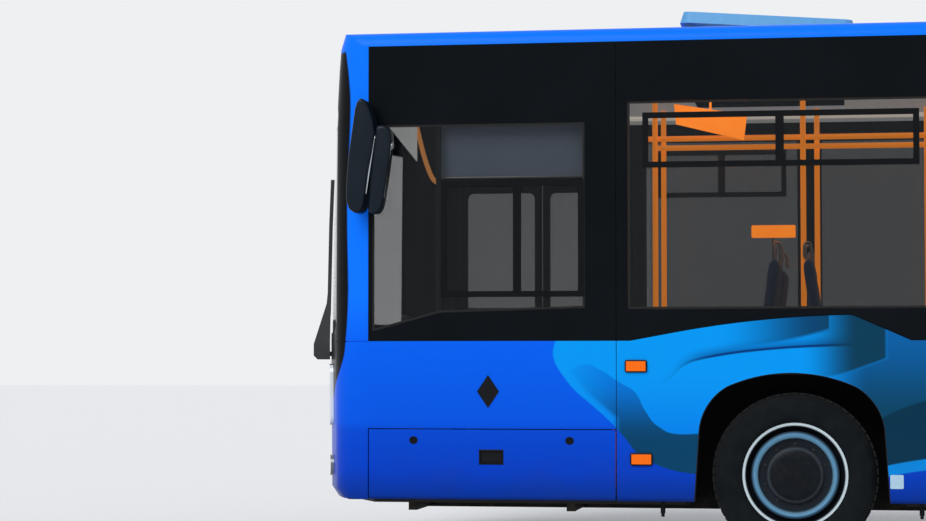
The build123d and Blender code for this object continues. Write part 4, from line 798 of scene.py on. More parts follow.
def corners(points):
    """Lowest and highest corner of some places."""
    low = Vector([min(p[k] for p in points) for k in range(3)])
    high = Vector([max(p[k] for p in points) for k in range(3)])
    return low, high


voxel, cloth_steps, cloth_pressure = 0.023, 20, 4.0
pad_swell, pad_spare = 0.008, 0.006
seam_half_w, seam_deep = 0.012, 0.004


def blown_pad(name, size, rounding, channels):
    """A pad about the origin, rounded, blown up by cloth pressure and sewn in channels."""
    pad = block((0, 0, 0), size)
    pad.name = name
    soften(pad, rounding)
    applied(pad, "REMESH", mode="VOXEL", voxel_size=voxel)
    rest = [vert.co.copy() for vert in pad.data.vertices]
    cloth = pad.modifiers.new("cloth", "CLOTH")
    cloth.settings.use_pressure = True
    cloth.settings.uniform_pressure_force = cloth_pressure
    cloth.settings.effector_weights.gravity = 0.0
    for step in range(1, cloth_steps + 1):
        bpy.context.scene.frame_set(step)
    bpy.ops.object.modifier_apply(modifier=cloth.name)
    bpy.context.scene.frame_set(1)
    for vert, start in zip(pad.data.vertices, rest):
        way = vert.co - start
        if way.length > pad_swell:
            vert.co = start + way * (pad_swell / way.length)
    for across in channels:
        pick(pad, "verts", lambda v: abs(v.co.x - across) < seam_half_w and v.co.z > 0)
        move(0, 0, -seam_deep)
    applied(pad, "SUBSURF", levels=1, render_levels=1)
    bpy.ops.object.shade_smooth()
    return pad


cloth_cover = Finish("seat_cloth", "upholstery", Roughness=0.85, Sheen_Weight=0.4, Sheen_Roughness=0.5)
weave = cloth_cover.x.wave(2600.0) * cloth_cover.y.wave(2600.0)
fleck = 1.0 - cloth_cover.cells(46.0).step(0.10, 0.18)
navy = cloth_cover.mix(cloth_cover.noise(5.0, 4.0), tone(30, 58, 116), tone(40, 74, 138))
cloth_cover.set(Base_Color=cloth_cover.mix(fleck, navy, tone(66, 104, 160)))
cloth_cover.bump(weave + cloth_cover.noise(900.0, 2.0), 0.0003)
place_w, place_gap = 0.4, 0.02
cushion_size = (0.412, 0.374, 0.056)
back_size = (0.425, 0.374, 0.050)
cushion_pattern = blown_pad("cushion_pattern", cushion_size, 0.018, (-0.1, 0.1))
back_pattern = blown_pad("back_pattern", back_size, 0.016, (-0.1, 0.06))
pad_kinds = (
    ("cushions", "seat_cushions", cushion_pattern, cushion_size),
    ("backs", "seat_backs", back_pattern, back_size),
)
for side_name in ("left", "right"):
    for kind, node, pattern, (pad_l, pad_w, _) in pad_kinds:
        pads = []
        for island in islands(node):
            low, high = corners(island)
            middle = (low + high) / 2
            if (middle.y < -0.015) != (side_name == "left"):
                continue
            if kind == "cushions":
                middle.z += 0.001
                stretch, stand = 1.0, Matrix()
            else:
                foot = [p.x for p in island if p.z < low.z + 0.001]
                top = [p.x for p in island if p.z > high.z - 0.001]
                lean_x = sum(top) / len(top) - sum(foot) / len(foot)
                lean = atan(lean_x / (high.z - low.z))
                stretch = ((high.z - low.z) / cos(lean) - place_gap) / (pad_l + pad_spare)
                quarter_turn = -pi / 2 if lean_x > 0 else pi / 2
                stand = Matrix.Rotation(lean, 4, "Y") @ Matrix.Rotation(quarter_turn, 4, "Y")
            places = max(1, round((high.y - low.y) / place_w - 0.3))
            width = (high.y - low.y) / places
            fit = Matrix.Diagonal((stretch, (width - place_gap) / (pad_w + pad_spare), 1.0, 1.0))
            for i in range(places):
                spot = Vector((middle.x, low.y + (i + 0.5) * width, middle.z))
                pad = twin(pattern.name + "_copy", pattern.data)
                pad.data.transform(Matrix.Translation(spot) @ stand @ fit)
                pads.append(pad)
        piece = finished(joined(pads), f"{side_name}_{kind}", cloth_cover)
        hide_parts(node)
for pattern in (cushion_pattern, back_pattern):
    bpy.data.objects.remove(pattern)

# The driver's roller blind: grey cloth drawn a third of the way down the side window, from a steel
# roller on two brackets to a hem bar. Beside it stands a pale trim panel of the windscreen post.
blind_y = -1.168
blind_low = place_behind(441, 178, blind_y)
blind_high = place_behind(584, 121, blind_y)
blind_middle = (blind_low + blind_high) / 2
blind_w, blind_h = blind_high.x - blind_low.x, blind_high.z - blind_low.z
blind_cloth = Finish("blind_cloth", "upholstery", Roughness=0.8)
clouds = blind_cloth.noise(6.0, 4.0)
blind_cloth.set(Base_Color=blind_cloth.mix(clouds, tone(168, 184, 208), tone(186, 202, 226)))
blind_cloth.bump(blind_cloth.x.wave(2400.0) * blind_cloth.z.wave(2400.0), 0.0002)
folds, fold_deep, rod_over = 24, 0.0016, 0.03
rods = (("roller", blind_high.z + 0.012, 0.016), ("hem", blind_low.z, 0.006))
bracket_size, bracket_out, bracket_z = (0.005, 0.044, 0.16), 0.014, blind_high.z + 0.072
bpy.ops.mesh.primitive_grid_add(
    x_subdivisions=folds, y_subdivisions=8, size=1.0, location=blind_middle, rotation=(pi / 2, 0, 0)
)
blind = bpy.context.object
blind.scale = (blind_w, blind_h, 1.0)
bpy.ops.object.transform_apply()
for step in range(0, folds + 1, 3):
    crest_x = blind_low.x + step * blind_w / folds
    pick(blind, "verts", lambda v: abs(v.co.x - crest_x) < 0.01 and v.co.z < blind_high.z - 0.05)
    move(0, fold_deep, 0)
leave_edit()
bpy.ops.object.shade_smooth()
finished(blind, "driver_blind", blind_cloth)
for rod_name, rod_z, rod_r in rods:
    rod = drum((blind_middle.x, blind_y, rod_z), rod_r, blind_w + rod_over, 20, "X")
    worked(rod, (1, 0, 0), ("inset", rod_r * 0.4), ("scale", (1.02, 1.0, 1.0)), both=True)
    finished(rod, f"blind_{rod_name}", bright_tube, smooth_angle=40)
for end_name, end_x in (("fore", blind_low.x - bracket_out), ("aft", blind_high.x + bracket_out)):
    bracket = block((end_x, wall_in_y + 0.02, bracket_z), bracket_size)
    soften(bracket, 0.012, lambda e: span(e).x > 0.004)
    finished(bracket, f"blind_bracket_{end_name}", bright_tube, smooth_angle=40)
# The trim panel is of the same glowing laminate: its glow is painted light.
trim_pixels = ((388, 126, -1.13), (417, 162, -1.13), (388, 104, wall_in_y), (417, 104, wall_in_y))
post_trim = plate([place_behind(*pixel) for pixel in trim_pixels], 0.006, 0.002)
finished(post_trim, "post_trim", glowing_laminate)


# The painted body panels: bright blue two-pack paint under clear lacquer. Broad waves of lighter blue
# and teal run back from behind the cab, over the front wheel and along the skirt. They are laid out
# in metres behind the front axle and above the ground.
axle_x = (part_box("front_left_tyre")[0].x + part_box("front_left_tyre")[1].x) / 2
# The body's blue by height above the ground, darker towards the skirt: painted shade.
blue_shade_heights = (
    (0.30, tone(2, 44, 132)),
    (0.36, tone(2, 50, 152)),
    (0.48, tone(2, 60, 186)),
    (0.72, tone(2, 70, 200)),
    (0.76, tone(2, 82, 216)),
    (1.22, tone(3, 93, 231)),
    (1.50, tone(9, 113, 250)),
    (3.00, tone(9, 114, 246)),
)
light_blue = tone(2, 147, 235)
mid_blue = tone(2, 116, 214)
teal = tone(6, 64, 100)
bare_inside = tone(58, 61, 66)
wave_edge = (
    (0.30, 0.60), (0.478, -0.571), (0.494, -0.673), (0.533, -0.788), (0.579, -0.873), (0.676, -0.959),
    (0.75, -1.023), (0.876, -1.161), (0.939, -1.236), (1.019, -1.305), (1.14, -1.372), (1.226, -1.363),
    (1.30, -1.33),
)
wave_top = (
    (-1.40, 0.96), (-1.259, 1.077), (-1.19, 1.099), (-1.12, 1.077), (-1.0, 1.002), (-0.913, 0.951),
    (-0.845, 0.836), (-0.759, 0.739), (-0.673, 0.705), (-0.548, 0.706), (0.3, 0.76),
)
crease_line = (
    (-0.74, 0.99), (-0.69, 1.031), (-0.588, 1.111), (-0.446, 1.145), (-0.191, 1.179), (0.146, 1.201),
    (0.508, 1.206), (0.60, 1.20),
)
first_patch_low = ((-0.40, 1.18), (-0.208, 1.207), (-0.051, 1.23), (0.118, 1.269), (0.21, 1.30))
second_patch_low = ((0.0, 0.99), (0.257, 1.037), (0.397, 1.082), (0.525, 1.133), (0.56, 1.16))
tail_wave = (
    (0.40, 0.70), (0.74, 0.90), (1.5, 1.05), (2.6, 0.90), (3.8, 0.62), (4.9, 0.60), (6.2, 0.86),
    (7.6, 1.16), (9.2, 1.22),
)
band_top = (
    (0.40, 0.50), (0.74, 0.571), (1.6, 0.66), (2.8, 0.60), (4.0, 0.42), (5.0, 0.36), (6.4, 0.48),
    (7.8, 0.78), (9.2, 1.05),
)


def lacquered(finish, base):
    """Lays a colour under lacquer, with a little road film low down."""
    film = (1.0 - finish.z.step(0.3, 0.75)) * finish.noise(5.0, 6.0).step(0.3, 0.9) * 0.2
    finish.set(
        Base_Color=finish.mix(film.at_most(0.5), base, tone(40, 50, 62)),
        Roughness=film * 0.6 + 0.28,
        IOR=1.11,
        Coat_Weight=0.04,
        Coat_Roughness=0.03,
    )
    return finish.bump(finish.noise(2.2, 2.0), 0.0012)


def shaded_blue(finish):
    """The blue of the body, deeper towards the skirt: painted shade."""
    return finish.ramp(finish.z / 3.2, [(z / 3.2, blue) for z, blue in blue_shade_heights])


def livery(finish):
    """The blue with its waves."""
    u, z = finish.x - axle_x, finish.z
    behind_arch = u.step(0.42, 0.43)
    paint = finish.mix((1.2 - z).step(0.1, 0.6), light_blue, tone(2, 124, 226))
    paint = finish.mix((u - z * 0.6).step(-0.6, -0.2) * 0.5, paint, tone(4, 122, 214))
    # The dark wave under the window band, which thins out towards the cab.
    lower = (u.curve(wave_top) - z).edge()
    lower = lower * (u - z.curve(wave_edge)).step(0.03, 0.09).at_least(u.step(-1.04, -0.98))
    lower = lower * (u.step(-1.34, -0.98) * 0.75 + 0.25)
    paint = finish.mix(lower, paint, finish.mix((1.08 - z).step(0.0, 0.42), mid_blue, teal))
    # The crease over the wheel arch: a fine dark line with a soft shade above it, both painted shade.
    over_crease = z - u.curve(crease_line)
    along = u.step(-0.78, -0.45) * (1.0 - u.step(0.35, 0.56))
    soft = (1.0 - over_crease.step(0.0, 0.075)) * over_crease.step(-0.007, 0.003) * 0.6
    core = (1.0 - over_crease.step(0.006, 0.016)) * over_crease.step(-0.006, 0.002) * 0.55
    paint = finish.mix((soft + core).at_most(1.0) * along, paint, tone(2, 52, 118))
    # Two dark patches over the wheel arch, each cut off upright at its rear end.
    first = (z - u.curve(first_patch_low)).step(-0.006, 0.02) * u.step(-0.45, 0.12)
    paint = finish.mix(first * (1.0 - u.step(0.192, 0.2)), paint, tone(6, 68, 112))
    over_second = (z - u.curve(second_patch_low)).step(-0.006, 0.02)
    second = over_second * u.step(0.02, 0.36)
    paint = finish.mix(second * (1.0 - u.step(0.503, 0.53)), paint, tone(8, 58, 84))
    # Dusky blue behind them, and the waves along the skirt to the tail.
    under = (1.0 - over_second) * u.step(0.12, 0.42)
    dusk = finish.mix((1.3 - z).step(0.0, 0.5), tone(8, 92, 158), tone(8, 66, 96))
    paint = finish.mix(u.step(0.50, 0.53).at_least(under), paint, dusk)
    paint = finish.mix((u.curve(tail_wave) - z).edge() * behind_arch, paint, tone(6, 50, 74))
    ribbon = u.curve(band_top) - z
    paint = finish.mix(ribbon.edge(0.005) * behind_arch, paint, tone(6, 132, 214))
    paint = finish.mix((ribbon - 0.062).edge(0.005) * behind_arch, paint, shaded_blue(finish))
    waved = (u - z.curve(wave_edge)).edge(0.004) * (1.0 - u.step(8.2, 8.23))
    # The skirt's lower edge, where it rolls under, goes halfway to navy: painted shade.
    rolled_edge_shade = 1.0 - z.step(0.325, 0.345)
    outside = finish.mix(rolled_edge_shade * 0.5, finish.mix(waved, shaded_blue(finish), paint), tone(2, 22, 66))
    inside = 1.0 - (finish.y * finish.y).step(1.4, 1.5)
    return finish.mix(inside, outside, bare_inside)


skirt_paint = Finish("skirt_paint")
lacquered(skirt_paint, livery(skirt_paint))
dress(skirt_paint, "left_skirt", "right_skirt", "service_flap")

# Small fittings on the driver's side, of satin black plastic: a blank diamond plate stuck under the
# window, two quarter-turn locks and a grip tray let into the flap, and valve nubs under the skirt. A
# pale blank label is stuck behind the wheel.
satin_black = Finish("satin_black", "black_plastic", IOR=1.2)
satin_black.coat(
    (20.0, 4.0), tone(8, 10, 13), tone(18, 20, 24), (600.0, 3.0), rough=0.35, vary=0.2, depth=0.0003
)
side_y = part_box("left_wall")[0].y
plate_thick = 0.004
diamond_at = place_behind(488, 391.5, side_y) - Vector((0, plate_thick / 2, 0))
diamond = drum(diamond_at, 1.0, plate_thick, 4, "Y", scale=(0.064, 0.095, 1.0))
near_side = (0, -1, 0)
diamond_steps = (("inset", 0.005), ("move", -0.0012), ("inset", 0.012), ("move", 0.0008))
worked(diamond, near_side, *diamond_steps)
finished(diamond, "diamond_plate", satin_black)
flap_low, flap_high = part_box("service_flap")
flap_x = (flap_low.x + flap_high.x) / 2
lock_pitch, lock_drop, lock_r, lock_deep = 0.91, 0.062, 0.0165, 0.011
lock_steps = (
    ("draw", 0.003), ("scale", (1.5, 1.0, 1.35)), ("inset", 0.008), ("draw", -0.006), ("inset", 0.006),
    ("draw", 0.004),
)
for side_name, hand in (("front", -1), ("rear", 1)):
    lock_at = (flap_x + hand * lock_pitch / 2, side_y + lock_deep / 2, flap_high.z - lock_drop)
    lock = drum(lock_at, lock_r, lock_deep, 28, "Y")
    worked(lock, near_side, *lock_steps)
    finished(lock, f"{side_name}_flap_lock", satin_black, "service_flap", smooth_angle=40)
grip_z, grip_w, grip_deep, grip_h = 0.566, 0.143, 0.011, 0.087
grip = block((flap_x, side_y + 0.006, grip_z), (grip_w, grip_deep, grip_h))
grip_steps = (("inset", 0.006), ("move", 0.0015), ("inset", 0.002), ("draw", -0.010))
worked(grip, near_side, *grip_steps, ("scale", (0.96, 1.0, 0.92)))
finished(grip, "flap_grip", satin_black, "service_flap")
nub_z, nub_r, nub_l = 0.285, 0.014, 0.07
for side_name, px in (("front", 663), ("rear", 922)):
    nub_x = place_behind(px, 500, side_y + 0.07).x
    nub = drum((nub_x, side_y + 0.07, nub_z), nub_r, nub_l, 16, "Z")
    worked(nub, (0, 0, -1), ("inset", 0.004), ("draw", 0.02), ("inset", 0.003))
    finished(nub, f"{side_name}_valve_nub", satin_black, smooth_angle=40)
label_stock = Finish("label_stock", "rubber", IOR=1.3)
label_stock.coat((40.0, 4.0), tone(150, 186, 208), tone(178, 206, 222), rough=0.4, vary=0.2, depth=0.0003)
label_w, label_thick, label_h = 0.074, 0.0016, 0.078
label_at = place_behind(897, 482, side_y) - Vector((0, label_thick / 2, 0))
label = block(label_at, (label_w, label_thick, label_h))
soften(label, 0.006, lambda e: span(e).y > 0.001)
finished(label, "blank_label", label_stock)


# Wheel arch linings: bands of black sprayed steel rolled to the arches and fixed to their edges. The
# roof over it all is one smooth painted shell.
def skin(name, wanted):
    """The faces of a node's mesh that a test accepts, as a new piece left open in edit mode."""
    piece = twin(name + "_skin", nodes[name].data)
    bpy.ops.object.mode_set(mode="EDIT")
    merge()
    pick(piece, "faces", lambda f: not wanted(f))
    bpy.ops.mesh.delete(type="FACE")
    select_whole()
    return piece


lining_thick, lining_reach = 0.004, 0.78
hubs = [(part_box(name)[0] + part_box(name)[1]) / 2 for name in ("front_left_tyre", "rear_left_tyres")]


def in_arch(face):
    """Whether a face of the skirt looks at a wheel."""
    middle = face.calc_center_median()
    for hub in hubs:
        away = Vector((middle.x - hub.x, 0, middle.z - hub.z))
        looks_in = abs(face.normal.y) < 0.2 and away.dot(face.normal) < -0.2 * away.length
        if away.length < lining_reach and looks_in:
            return True
    return False


for side_name in ("left", "right"):
    lining = skin(f"{side_name}_skirt", in_arch)
    applied(lining, "SOLIDIFY", thickness=lining_thick, offset=1.0)
    finished(lining, f"{side_name}_arch_linings", sealer, smooth_angle=30)
roof_paint = Finish("roof_paint", "roof_paint")
lacquered(roof_paint, roof_paint.mix(roof_paint.noise(0.8, 3.0), tone(8, 108, 240), tone(10, 118, 250)))
smooth("roof", roof_paint)

# The masks: moulded panels. The front one is black round the windscreen and the lamps, and blue on
# its corner posts. The rear one is blue outside and grey inside, and carries the engine lid.
mask_paint = Finish("mask_paint", "blue_paint")
black_half_w = (
    (0.30, 0.52), (0.63, 0.72), (0.90, 0.98), (1.12, 1.19), (1.235, 1.207), (2.0, 1.212), (2.9, 1.20),
    (3.12, 1.1),
)
away = mask_paint.y.math("ABSOLUTE")
black_face = (1.0 - (away - mask_paint.z.curve(black_half_w)).edge(0.004)) * mask_paint.z.step(0.60, 0.64)
face = black_face * (1.0 - mask_paint.z.step(2.93, 2.95))
lacquered(mask_paint, mask_paint.mix(face, shaded_blue(mask_paint), tone(12, 13, 15)))
smooth("front_mask", mask_paint)
tail_x, tail_bow, corner_y, corner_r = 6.0, 24.1, 1.25, 0.15
mask_thick = 0.025
tail_set_back = ((0.32, 0.05), (0.38, 0.0), (1.3, 0.0), (1.42, 0.03), (2.96, 0.06), (3.11, 0.14))
tail_paint = Finish("tail_paint", "blue_paint")
away = tail_paint.y.math("ABSOLUTE")
skin_x = tail_x - tail_paint.z.curve(tail_set_back) - away * away / tail_bow
past_y, past_x = (v.at_least(0.0) for v in (away - (corner_y - corner_r), tail_paint.x - skin_x + corner_r))
depth = corner_r - (past_x * past_x + past_y * past_y) ** 0.5
lining = depth.step(mask_thick - 0.001, mask_thick + 0.001)
lacquered(tail_paint, tail_paint.mix(lining, shaded_blue(tail_paint), bare_inside))
smooth("rear_mask", tail_paint)
rear_paint = Finish("rear_paint", "blue_paint")
lacquered(rear_paint, shaded_blue(rear_paint))
smooth("engine_lid", rear_paint)

# Plates: blank white pressed aluminium in black holders, one on the bumper and one on the engine lid.
# The holders are screwed on and the plates stand a little proud of them.
plate_white = Finish("plate_white", "bright_steel", IOR=1.3)
plate_white.coat((30.0, 4.0), tone(226, 228, 228), tone(206, 209, 210), rough=0.35, vary=0.2, depth=0.0003)
plate_w, plate_h = 0.52, 0.112
for place_name, x, z, hand, body in (
    ("front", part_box("front_mask")[0].x, 0.66, -1, "body"),
    ("rear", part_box("engine_lid")[1].x, 0.58, 1, nodes["engine_lid"]["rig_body"]),
):
    for layer, finish, thick, border, out in (
        ("holder", satin_black, 0.008, 0.008, 0.002),
        ("plate", plate_white, 0.002, 0.0, 0.0062),
    ):
        sign = block((x + hand * out, 0, z), (thick, plate_w + 2 * border, plate_h + 2 * border))
        soften(sign, 0.008, lambda e: span(e).x > 0.001)
        worked(sign, (hand, 0, 0), ("inset", 0.004), ("move", -0.0006))
        finished(sign, f"{place_name}_{layer}", finish, body)

# The window band: black glass-fronted panels between the windows, polished and nearly without tone.
# They are bonded to the wall's posts and rails.
band = Finish("window_band", IOR=1.12)
film = band.noise(1.6, 5.0).step(0.3, 0.7)
band.coat(film, tone(10, 14, 18), tone(13, 18, 22), rough=0.08, vary=0.10, depth=0.0006)
dress(band, "left_wall", "right_wall")


# Glass: grey tinted panes set flush in the walls, and the bonded windscreen with its black printed
# border. The glass is a little clearer beside the driver.
def tinted(name, through, edge=None):
    """Clear glass of a grey tint. through is the share of light that each face lets pass."""
    finish = Finish(name, "glass", IOR=1.30)
    smear = finish.noise(1.2, 5.0)
    clear = smear * 0.04 + (1.0 - through)
    finish.coat(smear, tone(12, 16, 18), tone(22, 27, 30), rough=0.03, vary=0.05, depth=0.0008)
    finish.set(Alpha=clear if edge is None else clear.at_least(edge(finish)))
    finish.material.use_transparency_overlap = True
    return finish


def screen_border(finish):
    """The black border of the windscreen."""
    rim = finish.y.math("ABSOLUTE").step(1.055, 1.065)
    foot = 1.0 - finish.z.step(1.36, 1.375)
    return rim.at_least(foot).at_least(finish.z.step(2.50, 2.52))


window_glass = tinted("window_glass", 0.46)
by_driver = 1.0 - window_glass.x.step(axle_x - 1.03, axle_x - 1.0)
window_glass.set(Alpha=0.54 - by_driver * 0.10)
screen_glass = tinted("screen_glass", 0.80, screen_border)
door_pane = tinted("door_pane", 0.5)
dress(window_glass, "windows")
smooth("windscreen", screen_glass)
dress(door_pane, *(name for name in nodes if name.endswith("_glass")))

# Black rubber beads round every side window, pressed between glass and panel. The doorways have rubber
# surrounds of the same kind.
rubber_seal = Finish("rubber_seal", "rubber", IOR=1.35)
rubber_seal.coat((700.0, 2.0), tone(11, 11, 12), tone(20, 20, 21), rough=0.6, vary=0.2, depth=0.0004)
bead_w, bead_h = 0.013, 0.003
for side_name, hand in (("left", -1), ("right", 1)):
    beads = skin(
        "windows", lambda f: f.normal.y * hand > 0.9 and f.calc_center_median().y * hand > 1.2
    )
    bpy.ops.mesh.dissolve_limited(angle_limit=radians(1))
    select_whole()
    bpy.ops.mesh.inset(thickness=bead_w, use_outset=False)
    bpy.ops.mesh.delete(type="FACE")
    select_whole()
    draw_out(0, hand * bead_h, 0)
    face_out()
    finished(beads, f"{side_name}_window_beads", rubber_seal)
dress(rubber_seal, "door_surrounds")


# Black sealant in the upright joints between the side panels and along the lower edge of the window
# band, set halfway back in the joint.
joint_w, sill_gap, joint_near = 0.0038, 0.0036, 0.0006
sealant_deep, panel_inner_y = 0.6, 1.218


def sealed(node, name, hand, wanted, *way):
    """Fills a joint: the faces on one side of it are drawn out across it and set back."""
    sealant = skin(node, wanted)
    draw_out(*way)
    select_whole()
    inner = (0, hand * panel_inner_y, 0)
    bpy.ops.transform.resize(value=(1.0, sealant_deep, 1.0), center_override=inner)
    face_out()
    finished(sealant, name, rubber_seal)


def at_joint(face):
    """Whether a face looks rearwards into one of the joints."""
    x = face.calc_center_median().x
    return face.normal.x > 0.95 and any(abs(x - joint_x) < joint_near for joint_x in joints_x)


def at_sill(face):
    """Whether a face looks down from the lower edge of the window band."""
    return face.normal.z < -0.3 and face.calc_center_median().z < 1.5


for name, hand in (("left_wall", -1), ("left_skirt", -1), ("right_skirt", 1)):
    joints_x = sorted({round(corners(island)[1].x, 4) for island in islands(name)})[:-1]
    sealed(name, f"{name}_sealant", hand, at_joint, joint_w, 0, 0)
sealed("left_wall", "sill_sealant", -1, at_sill, 0, 0, -sill_gap)

# Sliding sashes, door leaves and columns: black powder-coated aluminium with a fine orange-peel skin.
# The grille in the front mask is coated the same way.
powder = Finish("powder_coat", "black_plastic", IOR=1.16)
powder.coat(
    (4.0, 4.0), tone(8, 10, 13), tone(14, 17, 20), (500.0, 3.0), rough=0.35, vary=0.15, depth=0.0004
)
dress(powder, "vent_frames", "front_grille")
leaves = [(door, leaf, hand) for door in ("front", "middle") for leaf, hand in (("fore", 1), ("aft", -1))]
for door, leaf, hand in leaves:
    dress(powder, f"{door}_door_{leaf}_leaf")
    smooth(f"{door}_door_{leaf}_column", powder)

# Finger guards: soft rubber lips along the edges where two door leaves meet. Each is pushed on to its
# leaf and narrows towards its edge.
lip_thick = 0.0026
for door, leaf, hand in leaves:
    low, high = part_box(f"{door}_door_{leaf}_leaf")
    middle = (low + high) / 2
    edge_x = high.x if hand > 0 else low.x
    lip = block(
        (edge_x + hand * lip_thick / 2, middle.y, middle.z),
        (lip_thick, high.y - low.y - 0.006, high.z - low.z - 0.02),
    )
    worked(lip, (hand, 0, 0), ("scale", (1.0, 0.55, 0.998)))
    body = nodes[f"{door}_door_{leaf}_leaf"]["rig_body"]
    finished(lip, f"{door}_{leaf}_finger_guard", rubber_seal, body)

# Lamps: head and fog lamps behind clear covers, red tail lamps, and amber side markers with a ribbed
# lens in a black rim. The bowls of the headlamps stand in a column, and the fog lamp's is below.
bowl_pitch, bowl_z, bowl_y = 1 / 8.2, 0.74, 0.845
fog_z, fog_in = 0.502, 0.06
head_lens = Finish("head_lens", "lamp_clear", Coat_Weight=1.0, Coat_Roughness=0.03)
fog = 1.0 - head_lens.z.step(0.60, 0.62)
away = head_lens.y.math("ABSOLUTE") - fog * fog_in - bowl_y
up = (((head_lens.z - bowl_z) / bowl_pitch).math("FRACT") - 0.5) * bowl_pitch
up = up * (1.0 - fog) + (head_lens.z - fog_z) * fog
bowl = (up * up + away * away) ** 0.5
bright = 1.0 - bowl.step(0.044, 0.056)
core = 1.0 - bowl.step(0.016, 0.024)
edge_strip = away.step(0.098, 0.104)
lens_tone = head_lens.mix(bright.at_least(edge_strip), tone(84, 92, 100), tone(206, 214, 222))
head_lens.set(
    Base_Color=head_lens.mix(core, lens_tone, tone(244, 247, 250)),
    Metallic=bright * 0.3,
    Roughness=0.12,
)
head_lens.bump(bowl, 0.02)
smooth("headlamps", head_lens)
tail_lens = Finish("tail_lens", "lamp_red", Coat_Weight=1.0, Coat_Roughness=0.04, Roughness=0.2)
lens_zones = (
    (0.0, tone(214, 216, 218)),
    (0.18, tone(168, 14, 10)),
    (0.66, tone(232, 120, 12)),
    (0.84, tone(176, 16, 10)),
)
tail_lens.set(Base_Color=tail_lens.ramp((tail_lens.z - 0.62) * 2.0, lens_zones, sharp=True))
tail_lens.bump(tail_lens.z.wave(900.0), 0.0006)
smooth("tail_lamps", tail_lens)
amber = Finish("amber_lens", Coat_Weight=0.1, Coat_Roughness=0.05, IOR=1.2, Emission_Strength=0.06)
ribs = amber.x.wave(700.0)
amber.set(
    Base_Color=amber.mix(ribs * 0.2 + 0.3, tone(255, 118, 8), tone(214, 66, 0)),
    Roughness=0.25,
    Emission_Color=tone(255, 110, 10),
)
amber.bump(ribs, 0.0006)
dress(amber, "side_markers")
rim_w, rim_deep = 0.008, 0.010
for i, island in enumerate(islands("side_markers")):
    low, high = corners(island)
    middle = (low + high) / 2
    hand = -1 if low.y < 0 else 1
    rim = block(
        (middle.x, hand * (abs(side_y) + rim_deep / 2), middle.z),
        (high.x - low.x + 2 * rim_w, rim_deep, high.z - low.z + 2 * rim_w),
    )
    soften(rim, 0.012, lambda e: span(e).y > 0.005)
    worked(rim, (0, hand, 0), ("inset", 0.003), ("move", 0.002))
    finished(rim, f"marker_rim_{i}", satin_black, smooth_angle=40)

# Mirrors: deep black gloss housings on arms from the front corners, two heads on each side, with their
# panes set in the rear faces. Outlines are in millimetres behind the nose and above the ground.
nose_x = -6.0
gloss_black = Finish("gloss_black", "black_plastic", IOR=1.2, Coat_Weight=0.1, Coat_Roughness=0.05)
gloss_black.coat((6.0, 5.0), tone(9, 17, 25), tone(12, 26, 38), rough=0.22, vary=0.15, depth=0.0008)
main_outline = (
    (318, 2060), (323, 2180), (334, 2310), (352, 2440), (371, 2575), (385, 2619), (408, 2637),
    (432, 2621), (451, 2584), (478, 2500), (487, 2430), (471, 2330), (450, 2220), (433, 2090),
    (421, 2008), (402, 1977), (372, 1970), (336, 1995),
)
second_outline = (
    (438, 2010), (446, 1982), (468, 1967), (496, 1970), (518, 1994), (531, 2040), (563, 2254),
    (579, 2390), (576, 2438), (555, 2470), (520, 2482), (490, 2474), (472, 2446), (463, 2300),
)
head_kinds = ((main_outline, 1.298, 1.462, 0.022), (second_outline, 1.316, 1.426, 0.018))
arm_z, arm_h, arm_fore, arm_aft = 2.555, 0.07, 0.356, 0.408
pane_kinds = (
    ((0.487, 2.425), (0.434, 2.075), (1.322, 1.438)),
    ((0.5785, 2.385), (0.5325, 2.055), (1.336, 1.406)),
)
pane_thick, pane_sink, pane_round = 0.010, 0.003, 0.02


def housing(outline, shift, y_span, rim):
    """A head between two upright planes, whose outline is seen from the side."""
    leave_edit()
    bpy.ops.mesh.primitive_circle_add(vertices=len(outline), fill_type="NGON")
    piece = bpy.context.object
    put_verts(piece, [(back / 1000 + nose_x - shift, y_span[0], up / 1000) for back, up in outline])
    select_whole()
    bpy.ops.mesh.bevel(offset=0.010, segments=2, affect="VERTICES", clamp_overlap=True)
    select_whole()
    draw_out(0, y_span[1] - y_span[0], 0)
    face_out()
    pick(piece, "edges", lambda e: span(e).y < 0.001)
    bpy.ops.mesh.bevel(offset=rim, segments=4, clamp_overlap=True)
    return piece


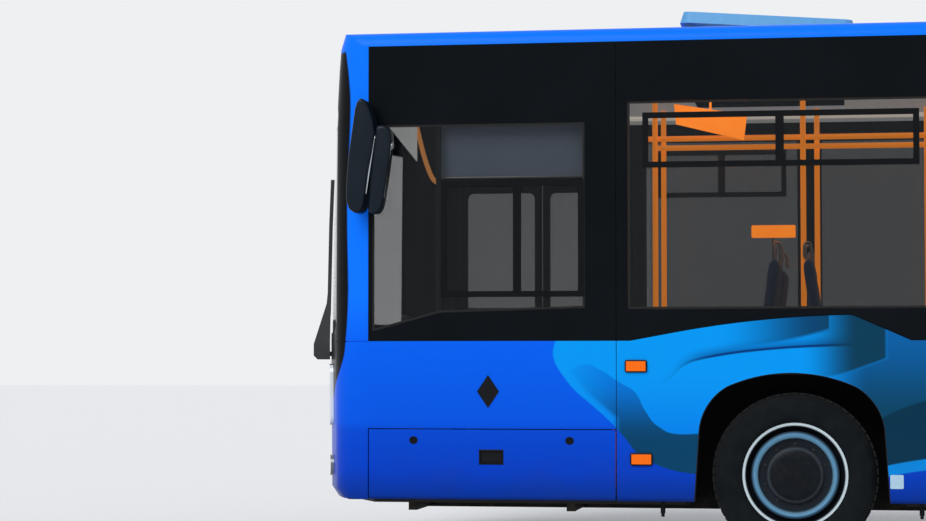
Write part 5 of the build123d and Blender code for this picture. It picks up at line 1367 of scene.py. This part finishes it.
mirror_glass = Finish("mirror_glass", "glass", Metallic=1.0)
mirror_glass.coat((8.0, 5.0), tone(196, 206, 210), tone(176, 188, 194), rough=0.02, vary=0.06, depth=0.0004)
heads, panes = [], []
for hand, shift in ((-1, 0.0), (1, 0.14)):
    for outline, y_in, y_out, rim in head_kinds:
        heads.append(housing(outline, shift, (hand * y_in, hand * y_out), rim))
    for aft, (y_in, y_out) in ((arm_aft, (1.205, 1.36)), (arm_aft + shift, (1.205, 1.285))):
        arm_at = ((arm_fore + aft) / 2 + nose_x - shift, hand * (y_in + y_out) / 2, arm_z)
        arm = block(arm_at, (aft - arm_fore, y_out - y_in, arm_h))
        soften(arm, 0.015)
        heads.append(arm)
    for (top_x, top_z), (low_x, low_z), (y_in, y_out) in pane_kinds:
        back, rise = top_x - low_x, top_z - low_z
        pane_x = (top_x + low_x) / 2 + nose_x - shift - pane_sink
        pane = block(
            (pane_x, hand * (y_in + y_out) / 2, (top_z + low_z) / 2),
            (pane_thick, y_out - y_in, (back**2 + rise**2) ** 0.5),
            rotation=(0, atan(back / rise), 0),
        )
        soften(pane, pane_round, lambda e: span(e).length < 2 * pane_thick, segments=4)
        worked(pane, (1, 0, 0), ("inset", 0.003), ("move", 0.001))
        panes.append(pane)
housings = finished(joined(heads), "mirror_housings", gloss_black, smooth_angle=40)
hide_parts("mirrors")
finished(joined(panes), "mirror_panes", mirror_glass)

# Wipers and roof hatch: black plastic arms and blades parked upright on the windscreen, and a moulded
# hatch cover of pale translucent plastic on the roof, hazy with scratches.
smooth("wipers", moulded)
hatch_plastic = Finish("hatch_plastic", "hatch_plastic", IOR=1.4)
hatch_plastic.coat((20.0, 6.0), tone(74, 148, 194), tone(96, 168, 210), rough=0.3, vary=0.25, depth=0.0006)
smooth("roof_hatch", hatch_plastic)

# The floor's own paint comes last: pale, matt and plain, so that the shadow under the bus is all that
# shows on it.
floor_paint = Finish("floor_paint", Base_Color=pale, Roughness=0.9, IOR=1.2)
studio_floor.data.materials.append(floor_paint.material)
